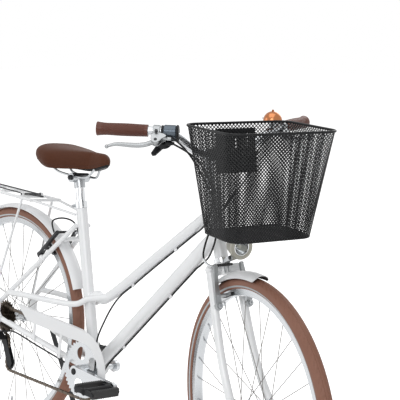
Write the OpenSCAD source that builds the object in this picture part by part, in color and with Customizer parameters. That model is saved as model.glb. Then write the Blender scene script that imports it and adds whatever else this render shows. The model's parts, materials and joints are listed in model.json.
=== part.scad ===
// Step-through city bicycle with a front basket, standing on its side stand.
// Bike frame of reference: +X forward, +Y the rider's left, +Z up, millimetres.
// Everything is drawn upright from the rear axle's ground point, then leaned onto the stand.

/* [Stance] */
// Lean to the left on the side stand, degrees
lean = 7; // [5:0.5:9]
// Handlebar turned from straight ahead, degrees (negative is right)
steer_rest = -17; // [-30:1:10]

/* [Wheels] */
// Inner radius of the rim
rim_in_r = 297.5; // [294:0.5:300]
// Depth of the rim from its inner face to its edge
rim_depth = 19.5; // [17:0.5:22]
// Height of the inflated tyre above the rim's edge
tyre_h = 31; // [27:0.5:35]
// Width of the tyre
tyre_w = 37; // [32:1:42]
// Width of the rim over its brake tracks
rim_w = 25; // [22:0.5:27]
// Number of spokes in each wheel
spokes = 32; // [20:4:36]
// Thickness of a spoke
spoke_d = 2; // [1.8:0.1:2.4]
// Diameter of both axles
axle_d = 10; // [9:0.5:12]
// Distance between the fork ends
front_old = 100; // [96:1:104]
// Distance between the rear dropouts
rear_old = 135; // [132:1:138]

/* [Frame] */
// Distance between the two axles
wheelbase = 1077; // [1060:1:1100]
// Head tube angle from the ground, degrees
head_angle = 69; // [67:0.5:71]
// Offset of the front axle ahead of the steering axis
fork_offset = 50; // [40:1:60]
// Bottom bracket ahead of the rear tyre
bb_gap = 77; // [72:1:87]
// Bottom bracket below the axles
bb_drop = 60; // [48:1:68]
// Seat tube angle from the ground, degrees
seat_angle = 73; // [72:0.25:74]
// Seat tube length from the bottom bracket to its top
seat_len = 475; // [455:1:500]
// Head tube length
head_len = 170; // [165:1:185]
// Head tube diameter
head_d = 36; // [35:0.5:40]
// Main tube diameter
main_d = 30; // [26:0.5:34]
// Down tube diameter
down_d = 40; // [36:0.5:44]
// Seat tube diameter
seat_d = 33; // [32:0.5:36]
// Bottom bracket shell length
shell_len = 68; // [66:0.5:73]
// Twin lateral stay diameter
twin_d = 18; // [15:0.5:20]
// Seat stay diameter
seat_stay_d = 15; // [13:0.5:17]
// Chain stay diameter
chain_stay_d = 18; // [16:0.5:19]

/* [Saddle and post] */
// Seat post diameter
post_d = 27.2; // [25:0.2:28.6]
// Seat post showing above the collar
post_show = 82; // [70:1:120]
// Length of the saddle
saddle_len = 272; // [250:1:290]
// Width of the saddle at the back
saddle_w = 205; // [170:1:230]
// Depth of the padding at the middle
saddle_h = 58; // [45:1:70]

/* [Cockpit] */
// Height of the bar clamp along the steering axis above the head tube
stem_rise = 88; // [75:1:110]
// Reach of the bar clamp ahead of the steering axis
stem_reach = 85; // [75:1:100]
// Diameter of the handlebar
bar_d = 22.2; // [22:0.1:25.4]
// Half width of the handlebar at the grip ends
bar_half = 310; // [295:1:330]
// Rise of the grips above the clamp along the steering axis
bar_rise = 68; // [55:1:85]
// Length of a grip
grip_len = 128; // [110:1:132]
// Diameter of a grip
grip_d = 32; // [29:0.5:34]

/* [Basket and lamp] */
// Basket width across the bike at the rim
basket_w = 300; // [270:1:330]
// Basket length along the bike at the rim
basket_l = 246; // [220:1:280]
// Basket depth from rim to floor
basket_h = 262; // [230:1:275]
// Width of the basket's floor
floor_w = 230; // [200:1:250]
// Length of the basket's floor
floor_l = 170; // [150:1:200]
// Basket wall thickness
basket_t = 2; // [1.6:0.2:3]
// Headlamp diameter at its rim
lamp_d = 63; // [55:1:70]

/* [Drive] */
// Teeth of the chainring
ring_teeth = 42; // [38:1:44]
// Crank length
crank_len = 170; // [160:1:175]
// Pedal width along its axle
pedal_w = 95; // [80:1:105]

/* [Hidden] */
$fn = 48;
e = 0.01;
// Running clearance of a turning or sliding fit, per side
run = 0.05;
// Air between neighbouring bodies
air = 0.4;
bead_r = rim_in_r + rim_depth;
wheel_r = bead_r + tyre_h;
bb_x = wheel_r + bb_gap;
bb_z = wheel_r - bb_drop;
axle_r = axle_d / 2;
ring_r = wheel_r - tyre_w / 2;
rake = 90 - head_angle;
head_dir = [-sin(rake), 0, cos(rake)];
head_fwd = [cos(rake), 0, sin(rake)];
seat_dir = [-cos(seat_angle), 0, sin(seat_angle)];
seat_fwd = [sin(seat_angle), 0, cos(seat_angle)];
rear_axle_p = [0, 0, wheel_r];
head_base = [wheelbase, 0, wheel_r] - head_fwd * fork_offset;
bb_p = [bb_x, 0, bb_z];

// Rotations of points, used where a place has to be known after turning
function rot_x(a, p) = [p.x, p.y * cos(a) - p.z * sin(a), p.y * sin(a) + p.z * cos(a)];
function rot_y(a, p) = [p.x * cos(a) + p.z * sin(a), p.y, p.z * cos(a) - p.x * sin(a)];
function rot_z(a, p) = [p.x * cos(a) - p.y * sin(a), p.x * sin(a) + p.y * cos(a), p.z];
function turned(v) = rot_y(-rake, rot_z(steer_rest, rot_y(rake, v)));
function steer_pt(p) = head_base + turned(p - head_base);
lean_h = tyre_w / 2;
function lean_pt(p) = rot_x(-lean, p - [0, 0, lean_h]) + [0, 0, lean_h];
function unit(v) = v / norm(v);
// Places given along and ahead of the steering axis, and along the seat tube
function on_head(s, f = 0, y = 0) = head_base + head_dir * s + head_fwd * f + [0, y, 0];
function on_seat(s, f = 0, y = 0) = bb_p + seat_dir * s + seat_fwd * f + [0, y, 0];

// The fork is lengthened or shortened so that the turned, leaned front tyre meets the ground
wheel_n = rot_x(-lean, turned([0, 1, 0]));
drop0 = lean_pt(steer_pt([wheelbase, 0, wheel_r])).z
    - ring_r * sqrt(1 - pow(wheel_n.z, 2)) - tyre_w / 2;
axle_s = -drop0 / (head_dir.z * cos(lean));
front_axle_p = on_head(axle_s, fork_offset);

// Distances along the steering axis: mudguard under the crown, head tube, stem and bar clamp
guard_r = wheel_r + 13;
guard_t = 1.6;
crown_s = axle_s + sqrt(pow(guard_r + 3, 2) - pow(fork_offset, 2));
crown_h = 32;
cup_h = 11;
head_s = crown_s + crown_h + cup_h + 1;
head_top = head_s + head_len;
clamp_s = head_top + stem_rise;

// Middle of the bounding box, which the part is centred on
rear_end_x = -guard_r;
front_end_x = lean_pt(steer_pt(front_axle_p)).x + ring_r * sqrt(1 - pow(wheel_n.x, 2)) + tyre_w / 2;
origin_x = (rear_end_x + front_end_x) / 2;
grip_end_l = lean_pt(steer_pt(on_head(clamp_s + bar_rise + 27, 12, bar_half + 8)));
grip_end_r = lean_pt(steer_pt(on_head(clamp_s + bar_rise + 27, 12, -bar_half - 8)));
origin_y = (grip_end_l.y + grip_end_r.y) / 2;

module leaned() {
    translate([-origin_x, -origin_y, lean_h])
        rotate([-lean, 0, 0])
            translate([0, 0, -lean_h])
                children();
}
module steered() {
    leaned()
        translate(head_base)
            rotate([0, -rake, 0])
                rotate([0, 0, steer_rest])
                    rotate([0, rake, 0])
                        translate(-head_base)
                            children();
}

// Straight round bar between two points
module rod(p, q, r, $fn = 40) {
    d = q - p;
    translate(p)
        rotate([0, acos(d.z / norm(d)), atan2(d.y, d.x)])
            cylinder(r = r, h = norm(d));
}
module ball(p, r) {
    translate(p)
        sphere(r = r, $fn = 40);
}
// Round plate across the bike, from y0 to y1
module disc_y(p, r, y0, y1) {
    translate([p.x, y1, p.z])
        rotate([90, 0, 0])
            cylinder(r = r, h = y1 - y0);
}
// Flat outline in X and Z, made solid from y0 to y1
module plate_y(y0, y1) {
    translate([0, y1, 0])
        rotate([90, 0, 0])
            linear_extrude(y1 - y0)
                children();
}
// Places children at p with their Z along d and their X nearest to up
module aim(p, d, up = [0, 0, 1]) {
    z = unit(d);
    x = unit(up - z * (up * z));
    y = cross(z, x);
    multmatrix([[x.x, y.x, z.x, p.x], [x.y, y.y, z.y, p.y], [x.z, y.z, z.z, p.z], [0, 0, 0, 1]])
        children();
}
// Smooth curve through a route's points, n steps to each span
function spline(a, b, c, d, t) = 0.5 * (2 * b + (c - a) * t + (2 * a - 5 * b + 4 * c - d) * t * t
    + (3 * b - a - 3 * c + d) * t * t * t);
function curve(p, n) = let (m = len(p) - 1)
    concat([for (i = [0 : m - 1], k = [0 : n - 1])
        spline(p[max(i - 1, 0)], p[i], p[i + 1], p[min(i + 2, m)], k / n)], [p[m]]);
function ring(p, t, r, sides, ref) = let (u = unit(cross(ref, t)), v = cross(t, u))
    [for (k = [0 : sides - 1]) p + r * (u * cos(360 * k / sides) + v * sin(360 * k / sides))];
// Round tube swept along a route
module tube(p, r, sides = 8, ref = [0.3, 0.1, 1]) {
    m = len(p);
    rings = [for (i = [0 : m - 1])
        ring(p[i], unit(p[min(i + 1, m - 1)] - p[max(i - 1, 0)]), r, sides, ref)];
    polyhedron(
        points = [for (a = rings) for (b = a) b],
        faces = concat(
            [for (i = [0 : m - 2], k = [0 : sides - 1]) let (k1 = (k + 1) % sides)
                [i * sides + k, (i + 1) * sides + k, (i + 1) * sides + k1]],
            [for (i = [0 : m - 2], k = [0 : sides - 1]) let (k1 = (k + 1) % sides)
                [i * sides + k, (i + 1) * sides + k1, i * sides + k1]],
            [[for (k = [0 : sides - 1]) k]],
            [[for (k = [sides - 1 : -1 : 0]) (m - 1) * sides + k]]));
}

// Joints of the frame tubes
steerer_r = 12.7;
head_bore_r = 15;
main_head_s = head_s + 0.75 * head_len;
down_head_s = head_s + 0.38 * head_len;
main_seat_s = 200;
main_bend = on_seat(main_seat_s, 92, 0) + [0, 0, 4];
shell_r = 20;
spindle_r = 8.5;
drop_t = 6;
drop_y = rear_old / 2;
seat_stay_s = 425;
stay_low = [4, drop_y - 3, wheel_r + 52];
stay_top = on_seat(seat_stay_s, -4, seat_d / 2 + 6.5);
post_r = post_d / 2;
post_in = 130;
tube_t = 1.8;
collar_h = 20;

module head_tube_solid() {
    rod(on_head(head_s), on_head(head_top), head_d / 2);
}
module seat_tube_solid() {
    rod(on_seat(0), on_seat(seat_len), seat_d / 2);
    disc_y(bb_p, shell_r, -shell_len / 2, shell_len / 2);
}

module head_tube() {
    color("white")
        leaned()
            difference() {
                head_tube_solid();
                rod(on_head(head_s - 1), on_head(head_top + 1), head_bore_r);
            }
}
main_route = curve([on_head(main_head_s), (on_head(main_head_s) + main_bend) / 2, main_bend,
    on_seat(main_seat_s + 12, 40), on_seat(main_seat_s)], 4);
module main_tube() {
    color("white")
        leaned()
            difference() {
                tube(main_route, main_d / 2, 20, [0, 1, 0]);
                tube(main_route, main_d / 2 - tube_t, 20, [0, 1, 0]);
                head_tube_solid();
                seat_tube_solid();
            }
}
module down_tube() {
    color("white")
        leaned() {
            difference() {
                rod(on_head(down_head_s), bb_p, down_d / 2);
                rod(on_head(down_head_s), bb_p, down_d / 2 - tube_t);
                head_tube_solid();
                seat_tube_solid();
            }
        }
}
module seat_tube() {
    color("white")
        leaned()
            difference() {
                seat_tube_solid();
                rod(on_seat(seat_len - post_in - 100), on_seat(seat_len + 1), post_r + run);
                rod(on_seat(shell_r + 3), on_seat(seat_len - post_in - 99), seat_d / 2 - tube_t - 0.4);
                disc_y(bb_p, spindle_r + run, -shell_len, shell_len);
            }
}
// Flat rear end that holds the axle, with an eye for the carrier
module dropout(y0, y1) {
    difference() {
        union() {
            plate_y(y0, y1)
                polygon([[-14, wheel_r - 16], [16, wheel_r - 16], [26, wheel_r - 8], [26, wheel_r + 10],
                    [14, wheel_r + 22], [16, wheel_r + 62], [-4, wheel_r + 62], [-16, wheel_r + 44],
                    [-32, wheel_r + 44], [-32, wheel_r + 28], [-18, wheel_r + 22]]);
        }
        disc_y(rear_axle_p, axle_r + run, y0 - 1, y1 + 1);
    }
}
// Room for the sprockets inside the flattened stay ends
cog_room_r = 58;
stay_end_t = 3;
module chain_stays() {
    color("white") {
        leaned()
            for (k = [-1, 1]) {
                difference() {
                    rod([bb_x - 14, k * 27, bb_z + 3], [14, k * (drop_y - 2), wheel_r + 1],
                        chain_stay_d / 2);
                    seat_tube_solid();
                    disc_y(rear_axle_p, cog_room_r, -drop_y + stay_end_t, drop_y - stay_end_t);
                    disc_y(rear_axle_p, axle_r + 8, -drop_y, drop_y);
                    plate_y(min(k * drop_y, k * 90), max(k * drop_y, k * 90))
                        square([30, 2 * wheel_r]);
                }
                dropout(k > 0 ? drop_y : -drop_y - drop_t, k > 0 ? drop_y + drop_t : -drop_y);
            }
        leaned()
            stand_mount();
    }
}
bridge_d = 14;
bridge_z = wheel_r + 36;
// Place on the seat stay at the brake bosses' distance from the axle, and its angle from upright
boss_z = rim_in_r - 17.5;
stay_run = stay_top - stay_low;
stay_l = norm([stay_run.x, stay_run.z]);
stay_u = [stay_run.x, stay_run.z] / stay_l;
stay_0 = [stay_low.x, stay_low.z - wheel_r];
boss_t = sqrt(pow(stay_0 * stay_u, 2) - stay_0 * stay_0 + pow(boss_z, 2)) - stay_0 * stay_u;
stay_boss = stay_0 + stay_u * boss_t;
brake_a = atan2(stay_boss.x, stay_boss.y) + 1.39;
function rear_pt(x, y, z) = rear_axle_p + rot_y(brake_a, [x, y, z]);
module seat_stays() {
    color("white")
        leaned() {
            for (k = [-1, 1])
                difference() {
                    rod([stay_low.x, k * stay_low.y, stay_low.z], [stay_top.x, k * stay_top.y, stay_top.z],
                        seat_stay_d / 2);
                    seat_tube_solid();
                    plate_y(min(k * drop_y, k * 90), max(k * drop_y, k * 90))
                        translate([-40, 0])
                            square([60, 2 * wheel_r]);
                }
            rod(rear_pt(4, -28, bridge_z), rear_pt(4, 28, bridge_z), bridge_d / 2);
            for (k = [-1, 1])
                rod(rear_pt(0, k * boss_y_rear, boss_z),
                    rear_pt(arm_x_rear + arm_t / 2 + air, k * boss_y_rear, boss_z),
                    boss_r + 3);
            for (k = [-1, 1])
                rod(rear_pt(0, k * boss_y_rear, boss_z),
                    rear_pt(arm_x_rear - arm_t / 2 - 1, k * boss_y_rear, boss_z),
                    boss_r);
        }
}
// Where a twin stay starts, its side against the inside of the main tube's wall
function twin_from(k) = main_bend + [0, k * ((main_d - twin_d) / 2 - tube_t), 0];
module twin_stays() {
    color("white")
        leaned()
            difference() {
                for (k = [-1, 1])
                    tube(curve([twin_from(k), on_seat(main_seat_s + 4, 28, k * 26),
                        on_seat(main_seat_s - 6, -24, k * 37), [240, k * 48, wheel_r + 106],
                        [130, k * 57, wheel_r + 98], [48, k * (drop_y - 5), wheel_r + 90]], 4),
                            twin_d / 2, 12, [0, 1, 0]);
                tube(main_route, main_d / 2, 20, [0, 1, 0]);
                seat_tube_solid();
                for (k = [-1, 1])
                    rod([stay_low.x, k * stay_low.y, stay_low.z], [stay_top.x, k * stay_top.y, stay_top.z],
                        seat_stay_d / 2);
            }
}
module seat_collar() {
    color("silver")
        leaned()
            difference() {
                union() {
                    rod(on_seat(seat_len + 0.2), on_seat(seat_len + collar_h), seat_d / 2 + 2);
                    for (k = [-1, 1])
                        rod(on_seat(seat_len + 10, -seat_d / 2 - 4, k * 1.2),
                            on_seat(seat_len + 10, -seat_d / 2 - 4, k * 13),
                            6);
                }
                rod(on_seat(seat_len - 1), on_seat(seat_len + collar_h + 1), post_r + run);
            }
}
module headset_cups() {
    color("silver")
        leaned()
            difference() {
                union() {
                    rod(on_head(head_s - cup_h), on_head(head_s), head_d / 2 + 3);
                    rod(on_head(head_top), on_head(head_top + cup_h), head_d / 2 + 2);
                }
                rod(on_head(head_s - 50), on_head(head_top + 50), steerer_r + run);
            }
}

// Mudguards
guard_w = 46;
guard_crown = 30;
module guard_section() {
    translate([guard_r - guard_crown, 0])
        intersection() {
            difference() {
                circle(r = guard_crown);
                circle(r = guard_crown - guard_t);
            }
            translate([0, -guard_w / 2])
                square([guard_crown + 1, guard_w]);
        }
}
// Band over a tyre from angle a0 to a1, counted from ahead towards the top
module guard_band(p, a0, a1) {
    translate(p)
        rotate([90, -a0, 0])
            rotate_extrude(angle = a1 - a0, $fn = 96)
                guard_section();
}
guard_from = 26;
guard_to = 196;
module rear_mudguard() {
    color("white")
        leaned() {
            guard_band(rear_axle_p, guard_from, guard_to);
            for (k = [-1, 1])
                rod(rear_axle_p + [-14, k * (drop_y + drop_t + 2.2), 14],
                    rear_axle_p + (guard_r - 12) * [cos(165), 0, sin(165)] + [0,
                        k * (guard_w / 2 + 1.8), 0], 1.8);
        }
}

// Carrier over the rear wheel
deck_z = wheel_r + guard_r + 29;
rail_r = 5;
deck_w = 110;
deck_front = 104;
deck_back = -285;
module carrier() {
    color("white")
        leaned() {
            for (k = [-1, 1]) {
                rod([deck_back, k * deck_w / 2, deck_z], [deck_front, k * deck_w / 2, deck_z], rail_r);
                rod([deck_front - 2, k * (deck_w / 2 - 4), deck_z],
                    on_seat(seat_len - 18, -6, k * (seat_d / 2 + 3.8)), 4);
                rod([62, k * (deck_w / 2 + 3), deck_z],
                    [-25, k * (drop_y + drop_t + 4.5), wheel_r + 36], 4);
            }
            for (x = [deck_back, -190, -90, deck_front])
                rod([x, -deck_w / 2, deck_z], [x, deck_w / 2, deck_z], rail_r - 0.5);
            rod([clip_x, -deck_w / 2, deck_z], [clip_x, deck_w / 2, deck_z], rail_r - 0.5);
            for (k = [-1, 1])
                difference() {
                    translate([clip_x - 6, k * lug_y - 3, deck_z])
                        cube([12, 6, clip_z - deck_z + 5]);
                    disc_y([clip_x, 0, clip_z], clip_pin_r + run, -lug_y - 5, lug_y + 5);
                }
            for (k = [-1, 1]) {
                ball([deck_back, k * deck_w / 2, deck_z], rail_r);
                ball([deck_front, k * deck_w / 2, deck_z], rail_r);
            }
        }
}
clip_x = 30;
clip_r = 2.2;
clip_pin_r = 3.2;
clip_z = deck_z + rail_r + clip_pin_r;
lug_y = 36;
module carrier_clip() {
    back = deck_back + 60;
    front = deck_front - 14;
    color("black")
        leaned() {
            tube([[clip_x, 26, clip_z], [back + 90, 24, clip_z], [back + 8, 22, clip_z],
                [back, 14, clip_z], [back, -14, clip_z],
                [back + 8, -22, clip_z], [back + 90, -24, clip_z], [clip_x, -26, clip_z]], clip_r, 8);
            tube([[clip_x, 18, clip_z], [front - 5, 4, clip_z], [front, 0, clip_z], [front - 5, -4, clip_z],
                [clip_x, -18, clip_z]], clip_r, 8);
            disc_y([clip_x, 0, clip_z], clip_pin_r, -lug_y - 4, lug_y + 4);
        }
}

// Side stand on the left chain stay
stand_p = [76, drop_y + 17, wheel_r - 14];
stand_foot_r = 11;
foot_y = 200;
foot_x = 112;
foot_z = lean_h + (foot_y * sin(lean) - lean_h + stand_foot_r) / cos(lean);
stand_foot = [foot_x, foot_y, foot_z];
stand_axis = unit(cross(stand_foot - stand_p, [-0.99, 0.1, 0.08]));
stand_pin_r = 5;
// Plate welded to the chain stay, and the pin that the stand turns on
module stand_mount() {
    translate([stand_p.x - 24, drop_y - 10, stand_p.z - 10])
        cube([48, 10 - air, 30]);
    rod(stand_p - stand_axis * 24, stand_p + stand_axis * 9, stand_pin_r);
}
module stand() {
    color("dimgray")
        leaned()
            difference() {
                union() {
                    rod(stand_p - stand_axis * 8, stand_p + stand_axis * 8, 12);
                    rod(stand_p, stand_foot, 7.5);
                    ball(stand_foot, stand_foot_r);
                }
                rod(stand_p - stand_axis * 20, stand_p + stand_axis * 20, stand_pin_r + run);
            }
}

// Seat post and saddle
post_top_s = seat_len + collar_h + post_show - 18;
module seatpost() {
    color("silver")
        leaned()
            rod(on_seat(seat_len - post_in), on_seat(post_top_s), post_r);
}
rail_wire_r = 3.5;
rail_y = 22;
clamp_p = on_seat(post_top_s + 9);
module seat_clamp() {
    color("dimgray")
        leaned()
            difference() {
                union() {
                    translate(clamp_p)
                        rotate([90, 0, 0])
                            cylinder(r = 14, h = 62, center = true);
                    rod(on_seat(post_top_s - 22), clamp_p, post_r + 3);
                }
                rod(on_seat(post_top_s - 60), on_seat(post_top_s), post_r);
                for (k = [-1, 1])
                    tube(rail_route(k), rail_wire_r + 0.2, 10);
            }
}
saddle_x = clamp_p.x - 142;
saddle_z = clamp_p.z + 18;
// Rail ends in the base, and the straight run through the clamp
rail_back = 38;
rail_back_y = 36;
rail_front = 24;
rail_front_y = 9;
rail_end_z = saddle_z + 9;
rail_run = 22;
rail_run_z = clamp_p.z + 5;
function rail_route(k) = curve([[saddle_x + rail_back, k * rail_back_y, rail_end_z],
    [saddle_x + rail_back + 32, k * (rail_y + 5), rail_end_z - 17],
    [clamp_p.x - rail_run, k * rail_y, rail_run_z], [clamp_p.x + rail_run, k * rail_y, rail_run_z],
    [clamp_p.x + rail_run + 38, k * (rail_y - 4), rail_run_z + 3],
    [saddle_x + saddle_len - rail_front, k * rail_front_y, rail_end_z]], 4);
module saddle_rails() {
    color("silver")
        leaned()
            for (k = [-1, 1])
                tube(rail_route(k), rail_wire_r, 8);
}
// Half width, crown height and skirt height of the saddle at a share u of its length
function saddle_half(u) = saddle_w / 2 * (u < 0.32 ? sqrt(1 - pow((0.32 - u) / 0.325, 2.6))
    : 0.17 + 0.83 * pow(cos(min(1, (u - 0.32) / 0.45) * 90),
        1.5)) * (u > 0.9 ? sqrt(1 - pow((u - 0.9) / 0.103, 2)) : 1);
function saddle_top(u) = saddle_h * (0.98 - 0.26 * sin(min(1, u / 0.62) * 90) + 0.02 * u)
    * (u > 0.9 ? 1 - 0.3 * pow((u - 0.9) / 0.1, 2) : 1) * (u < 0.14 ? 1 - 0.28 * pow((0.14 - u) / 0.14,
        2) : 1);
saddle_low = 14;
// One section of the padding: a crown over drawn-in sides
function saddle_ring(u) = let (w = max(2, saddle_half(u)), t = saddle_top(u) + 12, b = saddle_low)
    [for (a = [0 : 15 : 345]) let (c = cos(a), s = sin(a))
        [saddle_x + u * saddle_len, w * sign(c) * pow(abs(c), 0.62) * (s < 0 ? 1 + 0.14 * s : 1),
            saddle_z + (s >= 0 ? b + (t - b) * 0.35 + (t - b) * 0.65 * pow(s,
                0.8) : b + (t - b) * 0.35 * (1 + s))]];
saddle_u = [0, 0.015, 0.04, 0.08, 0.14, 0.2, 0.26, 0.32, 0.38, 0.44, 0.5, 0.56, 0.62, 0.7, 0.78, 0.86,
    0.92, 0.96, 0.985, 1];
module loft(rings) {
    m = len(rings);
    n = len(rings[0]);
    polyhedron(
        points = [for (a = rings) for (b = a) b],
        faces = concat(
            [for (i = [0 : m - 2], k = [0 : n - 1]) let (k1 = (k + 1) % n)
                [i * n + k, i * n + k1, (i + 1) * n + k1]],
            [for (i = [0 : m - 2], k = [0 : n - 1]) let (k1 = (k + 1) % n)
                [i * n + k, (i + 1) * n + k1, (i + 1) * n + k]],
            [[for (k = [n - 1 : -1 : 0]) k]],
            [[for (k = [0 : n - 1]) (m - 1) * n + k]]));
}
module saddle() {
    color("saddlebrown")
        leaned()
            loft([for (u = saddle_u) saddle_ring(u)]);
}
// Plastic base under the padding, with sockets for the rails
base_h = 10;
module saddle_base() {
    edge = [for (u = [0.03, 0.06, 0.1, 0.16, 0.24, 0.32, 0.4, 0.48, 0.56, 0.64, 0.74, 0.86, 0.93, 0.97])
        [saddle_x + u * saddle_len, 0.84 * saddle_half(u)]];
    color("black")
        leaned()
            difference() {
                translate([0, 0, saddle_z + saddle_low - 0.3 - base_h])
                    linear_extrude(base_h)
                        polygon(concat(edge, [for (q = reverse(edge)) [q.x, -q.y]]));
                for (k = [-1, 1])
                    tube(rail_route(k), rail_wire_r + 0.1, 8);
            }
}

// Fork, with legs drawn along and ahead of the steering axis
leg_r = 11;
leg_y = 41;
end_y = front_old / 2;
function leg_route(k) = curve([on_head(crown_s + 16, 4, k * leg_y),
    on_head(crown_s - 90, 5, k * (leg_y + 3)),
    on_head(crown_s - 190, 8, k * (leg_y + 7)), on_head(axle_s + 90, fork_offset - 30, k * (end_y + 1)),
    on_head(axle_s + 24, fork_offset - 9, k * (end_y + 5.5)),
        on_head(axle_s + 8, fork_offset - 2, k * (end_y + 5.5))], 4);
module fork() {
    color("white")
        steered() {
            difference() {
                union() {
                    rod(on_head(crown_s), on_head(crown_s + crown_h), 19);
                    rod(on_head(crown_s + 16, 3, -leg_y), on_head(crown_s + 16, 3, leg_y), 13);
                    for (k = [-1, 1]) {
                        ball(on_head(crown_s + 16, 4, k * leg_y), 13);
                        tube(leg_route(k), leg_r, 16, [0, 1, 0]);
                    }
                }
                translate(front_axle_p)
                    rotate([90, 0, 0])
                        cylinder(r = guard_r + 0.3, h = guard_w + 2, center = true, $fn = 96);
                disc_y(front_axle_p, 17, -end_y, end_y);
                for (k = [-1, 1])
                    disc_y(front_axle_p, 12, k > 0 ? end_y + 5 : -end_y - 30,
                        k > 0 ? end_y + 30 : -end_y - 5);
            }
            difference() {
                for (k = [-1, 1])
                    disc_y(front_axle_p, 13, k > 0 ? end_y : -end_y - 5, k > 0 ? end_y + 5 : -end_y);
                disc_y(front_axle_p, axle_r + run, -200, 200);
            }
            rod(on_head(crown_s + crown_h / 2), on_head(head_top + cup_h), steerer_r);
            for (k = [-1, 1]) {
                rod(front_pt(-fork_offset + 6, k * boss_y_front, boss_z),
                    front_pt(arm_x_front - arm_t / 2 - air, k * boss_y_front, boss_z), boss_r + 3);
                rod(front_pt(-fork_offset + 6, k * boss_y_front, boss_z),
                    front_pt(arm_x_front + arm_t / 2 + 1, k * boss_y_front, boss_z), boss_r);
            }
        }
}
nut_r = 9;
module axle_and_nuts(p, y_in) {
    disc_y(p, axle_r, -y_in - 14, y_in + 14);
    for (k = [-1, 1])
        translate([p.x, k > 0 ? y_in + 9 : -y_in, p.z])
            rotate([90, 0, 0])
                cylinder(r = nut_r, h = 9, $fn = 6);
}
module front_axle() {
    color("silver")
        steered()
            axle_and_nuts(front_axle_p, end_y + 5.1);
}
module rear_axle() {
    color("silver")
        leaned()
            axle_and_nuts(rear_axle_p, drop_y + drop_t + 0.1);
}
front_guard_from = 85;
front_guard_to = 126;
module front_mudguard() {
    color("white")
        steered() {
            difference() {
                guard_band(front_axle_p, front_guard_from, front_guard_to);
                for (k = [-1, 1])
                    translate(front_axle_p)
                        rotate([0, -front_guard_from, 0])
                            translate([guard_r - 40, 0, 0])
                                rotate([0, 90, 0])
                                    linear_extrude(60)
                                        polygon([[1, k * 2], [1, k * 40], [-34, k * 40]]);
            }
        }
}

// Handlebar and stem
bar_r = bar_d / 2;
grip_in = on_head(clamp_s + bar_rise, stem_reach + 1, bar_half - 110);
grip_out = on_head(clamp_s + bar_rise + 27, stem_reach - 66, bar_half);
function side(p, k) = [p.x, k * p.y, p.z];
function grip_dir(k) = unit(side(grip_out - grip_in, k));
function grip_pt(k, t) = side(grip_in, k) + grip_dir(k) * t;
// Distance from the middle at a share of the bend between clamp and grip
function bend_y(share) = 44 + share * (grip_pt(1, -46).y - 44);
function bar_half_route(k) = concat(
    [on_head(clamp_s, stem_reach, 0), on_head(clamp_s, stem_reach, k * 40)],
    curve([on_head(clamp_s, stem_reach, k * 44),
        on_head(clamp_s + 0.2 * bar_rise, stem_reach + 6, k * bend_y(0.323)),
        on_head(clamp_s + 0.62 * bar_rise, stem_reach + 19, k * bend_y(0.697)), grip_pt(k, -46)], 4),
    [grip_pt(k, -20), grip_pt(k, 0), grip_pt(k, grip_len - 4)]);
function reverse(p) = [for (i = [len(p) - 1 : -1 : 0]) p[i]];
module handlebar() {
    right = reverse(bar_half_route(-1));
    left = bar_half_route(1);
    color("silver")
        steered()
            tube(concat([for (i = [0 : len(right) - 2]) right[i]], left), bar_r, 16, [0.36, 0, 1]);
}
module stem() {
    color("silver")
        steered()
            difference() {
                union() {
                    rod(on_head(head_top + cup_h + 0.2), on_head(clamp_s - 8), 13);
                    ball(on_head(clamp_s - 8), 13);
                    rod(on_head(clamp_s - 8), on_head(clamp_s, stem_reach), 12);
                    disc_y(on_head(clamp_s, stem_reach), bar_r + 6, -22, 22);
                }
                disc_y(on_head(clamp_s, stem_reach), bar_r + 0.05, -30, 30);
            }
}
module grips() {
    color("saddlebrown")
        steered()
            for (k = [-1, 1])
                aim(grip_pt(k, 0), grip_dir(k))
                    difference() {
                        union() {
                            cylinder(r = grip_d / 2, h = grip_len);
                            cylinder(r = grip_d / 2 + 2, h = 4);
                            translate([0, 0, grip_len - 7])
                                cylinder(r = grip_d / 2 + 2.5, h = 7);
                        }
                        translate([0, 0, -1])
                            cylinder(r = bar_r + 0.1, h = grip_len - 2);
                    }
}
// Lever units: Z out along the grip, X towards the lever, Y across it
reach_dir = [0.72, 0, -0.69];
module at_grip(k) {
    steered()
        aim(grip_pt(k, 0), grip_dir(k), reach_dir)
            children();
}
pivot_x = 31;
pivot_z = -22;
lever_pin_r = 3;
blade_t = 11;
// Cable barrel of a lever, beside the shifter's clamp ring
barrel_p = [21, 0, -45];
module lever_brackets() {
    color("silver")
        for (k = [-1, 1])
            at_grip(k)
                difference() {
                    union() {
                        translate([0, 0, -31])
                            cylinder(r = bar_r + 4.5, h = 18);
                        translate([8, -9.5, -33])
                            cube([14, 19, 24]);
                        for (m = [-1, 1])
                            translate([20, m > 0 ? blade_t / 2 + air : -blade_t / 2 - air - 3.6, -33])
                                cube([19, 3.6, 22]);
                        translate([pivot_x, 0, pivot_z])
                            rotate([90, 0, 0])
                                cylinder(r = lever_pin_r, h = blade_t + 2, center = true);
                        translate(barrel_p)
                            cylinder(r = 4.5, h = 14);
                    }
                    translate([0, 0, -60])
                        cylinder(r = bar_r + 0.1, h = 80);
                }
}
module blade(k) {
    color("silver")
        at_grip(k)
            rotate([90, 0, 0])
                linear_extrude(blade_t, center = true)
                    difference() {
                        union() {
                            translate([pivot_x, pivot_z])
                                circle(r = 7.5);
                            polygon([[pivot_x + 7, pivot_z - 2], [pivot_x + 17, 4], [pivot_x + 21, 40],
                                [pivot_x + 21, 86],
                                [pivot_x + 24, 98], [pivot_x + 18, 100], [pivot_x + 13, 86],
                                    [pivot_x + 12, 40],
                                [pivot_x + 7, 10], [pivot_x - 3, pivot_z + 6]]);
                        }
                        translate([pivot_x, pivot_z])
                            circle(r = lever_pin_r + run);
                    }
}
module lever_left() {
    blade(1);
}
module lever_right() {
    blade(-1);
}
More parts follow.
